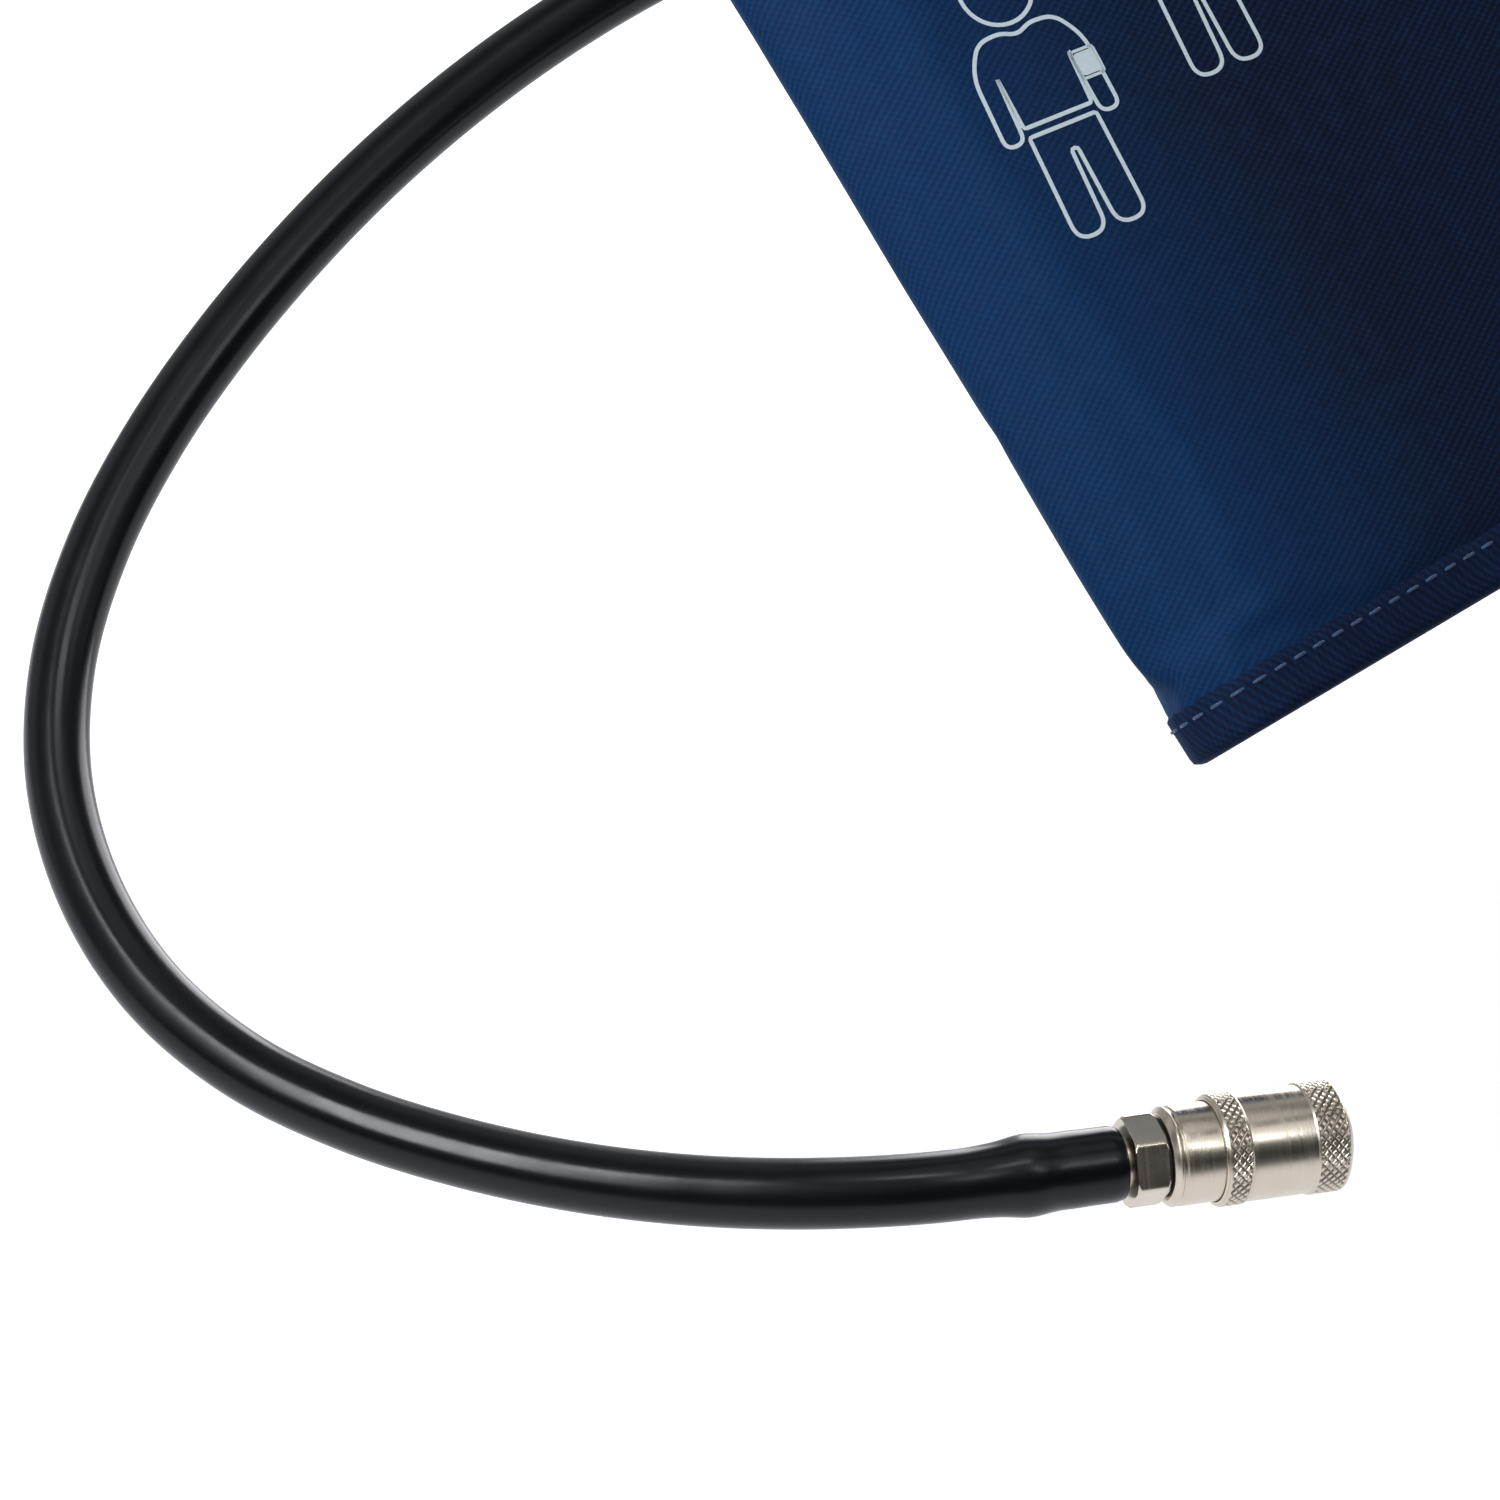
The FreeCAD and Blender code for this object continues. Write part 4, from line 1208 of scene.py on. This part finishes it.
def tail_hexagon():
    """Hexagon bar with turned chamfers at both ends."""
    x_front, x_rear = -26.4, -31.0
    flats, turn = 11.0, math.radians(41.6)      # width across flats, angle of the first corner
    crown, corner_cut = 0.45, 0.10
    sixth = np.radians(60)
    x = np.concatenate([[x_front], np.linspace(x_front - 0.02, x_front - 1.1, 9),
                        np.linspace(x_front - 1.4, x_rear + 1.4, 6),
                        np.linspace(x_rear + 1.1, x_rear + 0.02, 9), [x_rear]])
    shares = np.concatenate([[0.0, 0.012, 0.03], np.linspace(0.08, 0.92, 14), [0.97, 0.988]])
    angle = np.concatenate([math.radians(41.6 + 60 * side) + sixth * shares
                            for side in range(6)])
    corner_r = flats / math.sqrt(3)
    flat_r = flats / 2 / np.cos((angle - turn) % sixth - sixth / 2)
    flat_r = np.minimum(flat_r, corner_r - corner_cut)
    from_end = np.minimum(np.abs(x - x_front), np.abs(x - x_rear))[:, None]
    radius = np.minimum(flat_r, corner_r - crown + from_end)
    return bored_bar("tail_hexagon", around_x(x[:, None], radius, angle), len(x), angle,
                     x_front, x_rear, bore=1.6, material=NICKEL, uv=None, sharp=24)


fit(lathe("sleeve_shell", SLEEVE_OUTLINE, segments=180, rounding=0.16),
    "sleeve", "locking_sleeve")
for name, x_front, x_rear in (("knurl_front", -1.1, -5.9), ("knurl_rear", -15.1, -18.65)):
    fit(knurled(name, x_front, x_rear), "sleeve")
fit(lathe("coupling_shell", BODY_OUTLINE, segments=180, rounding=0.14),
    "coupling", "coupling_body")
fit(tail_hexagon(), "coupling")
fit(lathe("tail_barb", BARB_OUTLINE, segments=72, rounding=0.1),
    "coupling", "hose_tail")

# ------------------------------------------------------------------ springs
# name, replaced node, x from, x to, coil radius, wire radius, open turns, joint, joint travel
SPRINGS = [
    ("sleeve_return_coil", "sleeve_spring", -13.4, -7.1, 6.32, 0.28, 3.0, "sleeve_slide", 3.5),
    ("valve_return_coil", "valve_spring", -23.4, -15.8, 2.3, 0.3, 4.0, "valve_slide", 3.0)]
SPRING_GAP = 0.02


def coil(name, x_from, x_to, radius, wire, turns):
    """A compression spring along X: open turns between two closed end turns."""
    dead = 0.8      # closed turns at each end
    total = turns + 2 * dead
    t = np.linspace(0, total, int(total * 56))
    low, high = x_from + wire, x_to - wire
    end_length = 2 * wire * 1.04 * dead
    open_x = low + end_length + (high - low - 2 * end_length) * (t - dead) / turns
    x = np.where(t < dead, low + end_length * t / dead,
                 np.where(t > total - dead, high - end_length * (total - t) / dead, open_x))
    # a running mean eases the change of pitch
    reach = 11
    window = 2 * reach + 1
    padded = np.concatenate([np.full(reach, x[0]), x, np.full(reach, x[-1])])
    x = np.convolve(padded, np.ones(window) / window, mode="valid")
    angle = 2 * math.pi * t
    line = np.stack([x, radius * np.cos(angle), radius * np.sin(angle)], 1)
    return swept(name, line, wire, STEEL, sides=12)


for name, node, x_from, x_to, radius, wire, turns, joint, travel in SPRINGS:
    spring = coil(name, x_from + SPRING_GAP, x_to - SPRING_GAP, radius, wire, turns)
    fit(spring, "coupling", node)
    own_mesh(spring)

# ------------------------------------------------------------------ pieces kept from the frame
KEPT_PIECES = [
    ("tail_washer", SEAL_RUBBER), ("sleeve_stop_ring", STEEL), ("socket_o_ring", SEAL_RUBBER),
    ("valve_poppet", NICKEL), ("poppet_seal", SEAL_RUBBER), ("port_o_ring", SEAL_RUBBER),
    ("port_flange", PORT_PLASTIC), ("port_elbow", PORT_PLASTIC)]
KEPT_PIECES += [("locking_ball_%d" % k, STEEL) for k in range(1, 7)]

for name, material in KEPT_PIECES:
    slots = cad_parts[name].data.materials
    slots.clear()
    slots.append(material)
for name in ("port_flange", "port_elbow", "valve_poppet"):
    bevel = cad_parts[name].modifiers.new("edge", "BEVEL")
    bevel.width = 0.00018
    bevel.segments = 3
    bevel.limit_method = "ANGLE"
    bevel.angle_limit = math.radians(40)

# ------------------------------------------------------------------ floor (metres from here on)
FLOOR_Z = -0.12
FLOOR_REACH = 30


def floor_material():
    """White paper, brighter with distance.

    Reflections see it as a lit sweep, other rays as a soft grey.
    """
    k = Material("floor_paper")
    place = k.coords("Object")
    grain = k.noise(place, scale=30.0, detail=4.0)
    rays = k.node("LightPath").outputs
    camera, glossy = rays["Is Camera Ray"], rays["Is Glossy Ray"]
    white = k.mix(grain, grey(0.93), grey(0.95))
    distance = k.node("VectorMath", {0: place}, operation="LENGTH").outputs["Value"]
    far = k.map_range(distance, (0.35, 1.1), (0.60, 1.25))
    front = k.map_range(k.split(place)[1], (-0.56, -0.17), (0.04, 0.88), smooth=True)
    return k.surface({
        "Base Color": k.mix(camera, (0.22, 0.22, 0.23, 1), white),
        "Roughness": 0.9,
        "Specular IOR Level": 0.0,
        "Emission Color": k.mix(glossy, white, (0.93, 0.95, 1.0, 1)),
        "Emission Strength": k.add(k.multiply(camera, far), k.multiply(glossy, front)),
    })


corners = [(x * FLOOR_REACH, y * FLOOR_REACH, FLOOR_Z)
           for x, y in ((-1, -1), (1, -1), (1, 1), (-1, 1))]
add_mesh("floor", corners, [(0, 1, 2, 3)], [floor_material()], smooth=False,
                  outward=False)

# ------------------------------------------------------------------ world
# Brightness seen by reflections, by angle about X: 0.5 is level towards -Y (the front), 0.75
# straight up and 1.0 level towards +Y.
REFLECTED_ROOM = [
    (0.50, 0.04), (0.533, 0.045), (0.561, 0.08), (0.592, 0.20), (0.622, 0.34), (0.650, 0.42),
    (0.68, 0.20), (0.735, 0.16), (0.765, 0.10), (0.79, 0.14), (0.828, 0.40), (0.875, 0.52),
    (0.94, 0.36), (1.0, 0.40)]


def studio_world():
    """White to the camera, a soft dome for diffuse light, a banded room for reflections."""
    studio = bpy.data.worlds.new("studio")
    scene.world = studio
    studio.use_nodes = True
    k = Nodes(studio.node_tree)
    k.tree.nodes.clear()
    x, y, z = k.split(k.node("TexCoord").outputs["Generated"])
    around = k.math("ARCTAN2", z, k.multiply(y, -1.0))
    turn = k.add(k.multiply(around, 0.5 / math.pi), 0.5)
    room = k.ramp(turn, [(position, grey(value)) for position, value in REFLECTED_ROOM])
    dome = k.ramp(z, [(0.0, (0.16, 0.16, 0.17, 1)), (0.75, (0.95, 0.97, 1.0, 1))])
    # the dome is brighter towards -X
    sideways = k.multiply(k.add(0.62, k.multiply(x, -0.38)), 0.42)

    def scaled(colour, scale):
        inputs = {0: colour, "Scale": scale}
        return k.node("VectorMath", inputs, operation="SCALE").outputs[0]

    rays = k.node("LightPath").outputs
    colour = k.mix(rays["Is Glossy Ray"], scaled(dome, sideways), scaled(room, 1.0))
    colour = k.mix(rays["Is Camera Ray"], colour, grey(1.0))
    background = k.node("Background", {0: colour}).outputs[0]
    k.node("OutputWorld", {0: background})


studio_world()

# ------------------------------------------------------------------ lights
CENTRE = (-0.03, 0.09, 0.09)


def area_light(name, place, target, size, power, colour=(1, 1, 1), along=None,
               diffuse=True, glossy=True):
    """A rectangle light facing target; along is the direction of its own X, if it matters."""
    lamp = bpy.data.lights.new(name, "AREA")
    lamp.shape = "RECTANGLE"
    lamp.size, lamp.size_y = size
    lamp.energy = power
    lamp.color = colour
    ob = bpy.data.objects.new(name, lamp)
    scene.collection.objects.link(ob)
    ob.location = place
    if along is None:
        aim = (Vector(target) - Vector(place)).to_track_quat("-Z", "Y")
        ob.rotation_euler = aim.to_euler()
    else:
        z = (Vector(place) - Vector(target)).normalized()
        x = Vector(along)
        x = (x - z * x.dot(z)).normalized()
        ob.rotation_euler = Matrix((x, z.cross(x), z)).transposed().to_euler()
    ob.visible_camera = False
    ob.visible_diffuse = diffuse
    ob.visible_glossy = glossy


area_light("key", place=(-0.34, -0.08, 0.27), target=(-0.03, 0.09, 0.13), size=(0.42, 0.42),
           power=1.75, colour=(1.0, 0.99, 0.975), glossy=False)
area_light("side", place=(0.31, 0.457, 0.18), target=(-0.16, 0.085, 0.03), size=(0.6, 0.4),
           power=3.4, colour=(0.98, 0.96, 1.0), diffuse=False)
area_light("back", place=(0.25, 1.15, 0.55), target=CENTRE, size=(0.8, 0.8),
           power=2.6, colour=(0.97, 0.98, 1.0), glossy=False)
area_light("fill", place=(0.35, -0.75, 1.05), target=CENTRE, size=(0.8, 0.42),
           power=0.75, colour=(0.96, 0.98, 1.0))
area_light("top", place=(0.1, -0.12, 1.2), target=CENTRE, size=(0.9, 0.55), power=0.75)

# long highlights, seen only in reflections
STREAK = dict(colour=(0.93, 0.97, 1.0), diffuse=False)
area_light("streak_low", place=(-0.575, -0.278, 0.508), target=(-0.118, 0.031, 0.0),
           size=(0.03, 0.5), power=2.8, along=(-0.80, 0.586, 0.132), **STREAK)
area_light("streak_left", place=(-0.039, -0.53, 1.395), target=(-0.159, 0.10, 0.045),
           size=(0.14, 0.5), power=1.25, along=(0.30, 0.64, 0.70), **STREAK)
area_light("streak_up", place=(0.15, -0.43, 0.41), target=(-0.13, 0.13, 0.085),
           size=(0.08, 0.2), power=0.20, along=(0.68, 0.42, 0.62), **STREAK)

# ------------------------------------------------------------------ camera
CAMERA_PLACE = (-0.193297, -0.406053, 0.239251)
CAMERA_TURN = math.radians(-15.2107)    # from +Y, about Z
CAMERA_DIP = math.radians(22.4394)      # below level


def add_camera():
    lens = bpy.data.cameras.new("camera")
    lens.lens = 88.2
    lens.sensor_width = 36.0
    lens.sensor_fit = "HORIZONTAL"
    lens.clip_start = 0.01
    camera = bpy.data.objects.new("camera", lens)
    scene.collection.objects.link(camera)
    forward = Vector((-math.sin(CAMERA_TURN) * math.cos(CAMERA_DIP),
                      math.cos(CAMERA_TURN) * math.cos(CAMERA_DIP),
                      -math.sin(CAMERA_DIP)))
    camera.location = CAMERA_PLACE
    camera.rotation_euler = forward.to_track_quat("-Z", "Y").to_euler()
    scene.camera = camera


add_camera()
scene.view_settings.view_transform = "Standard"

log_size()
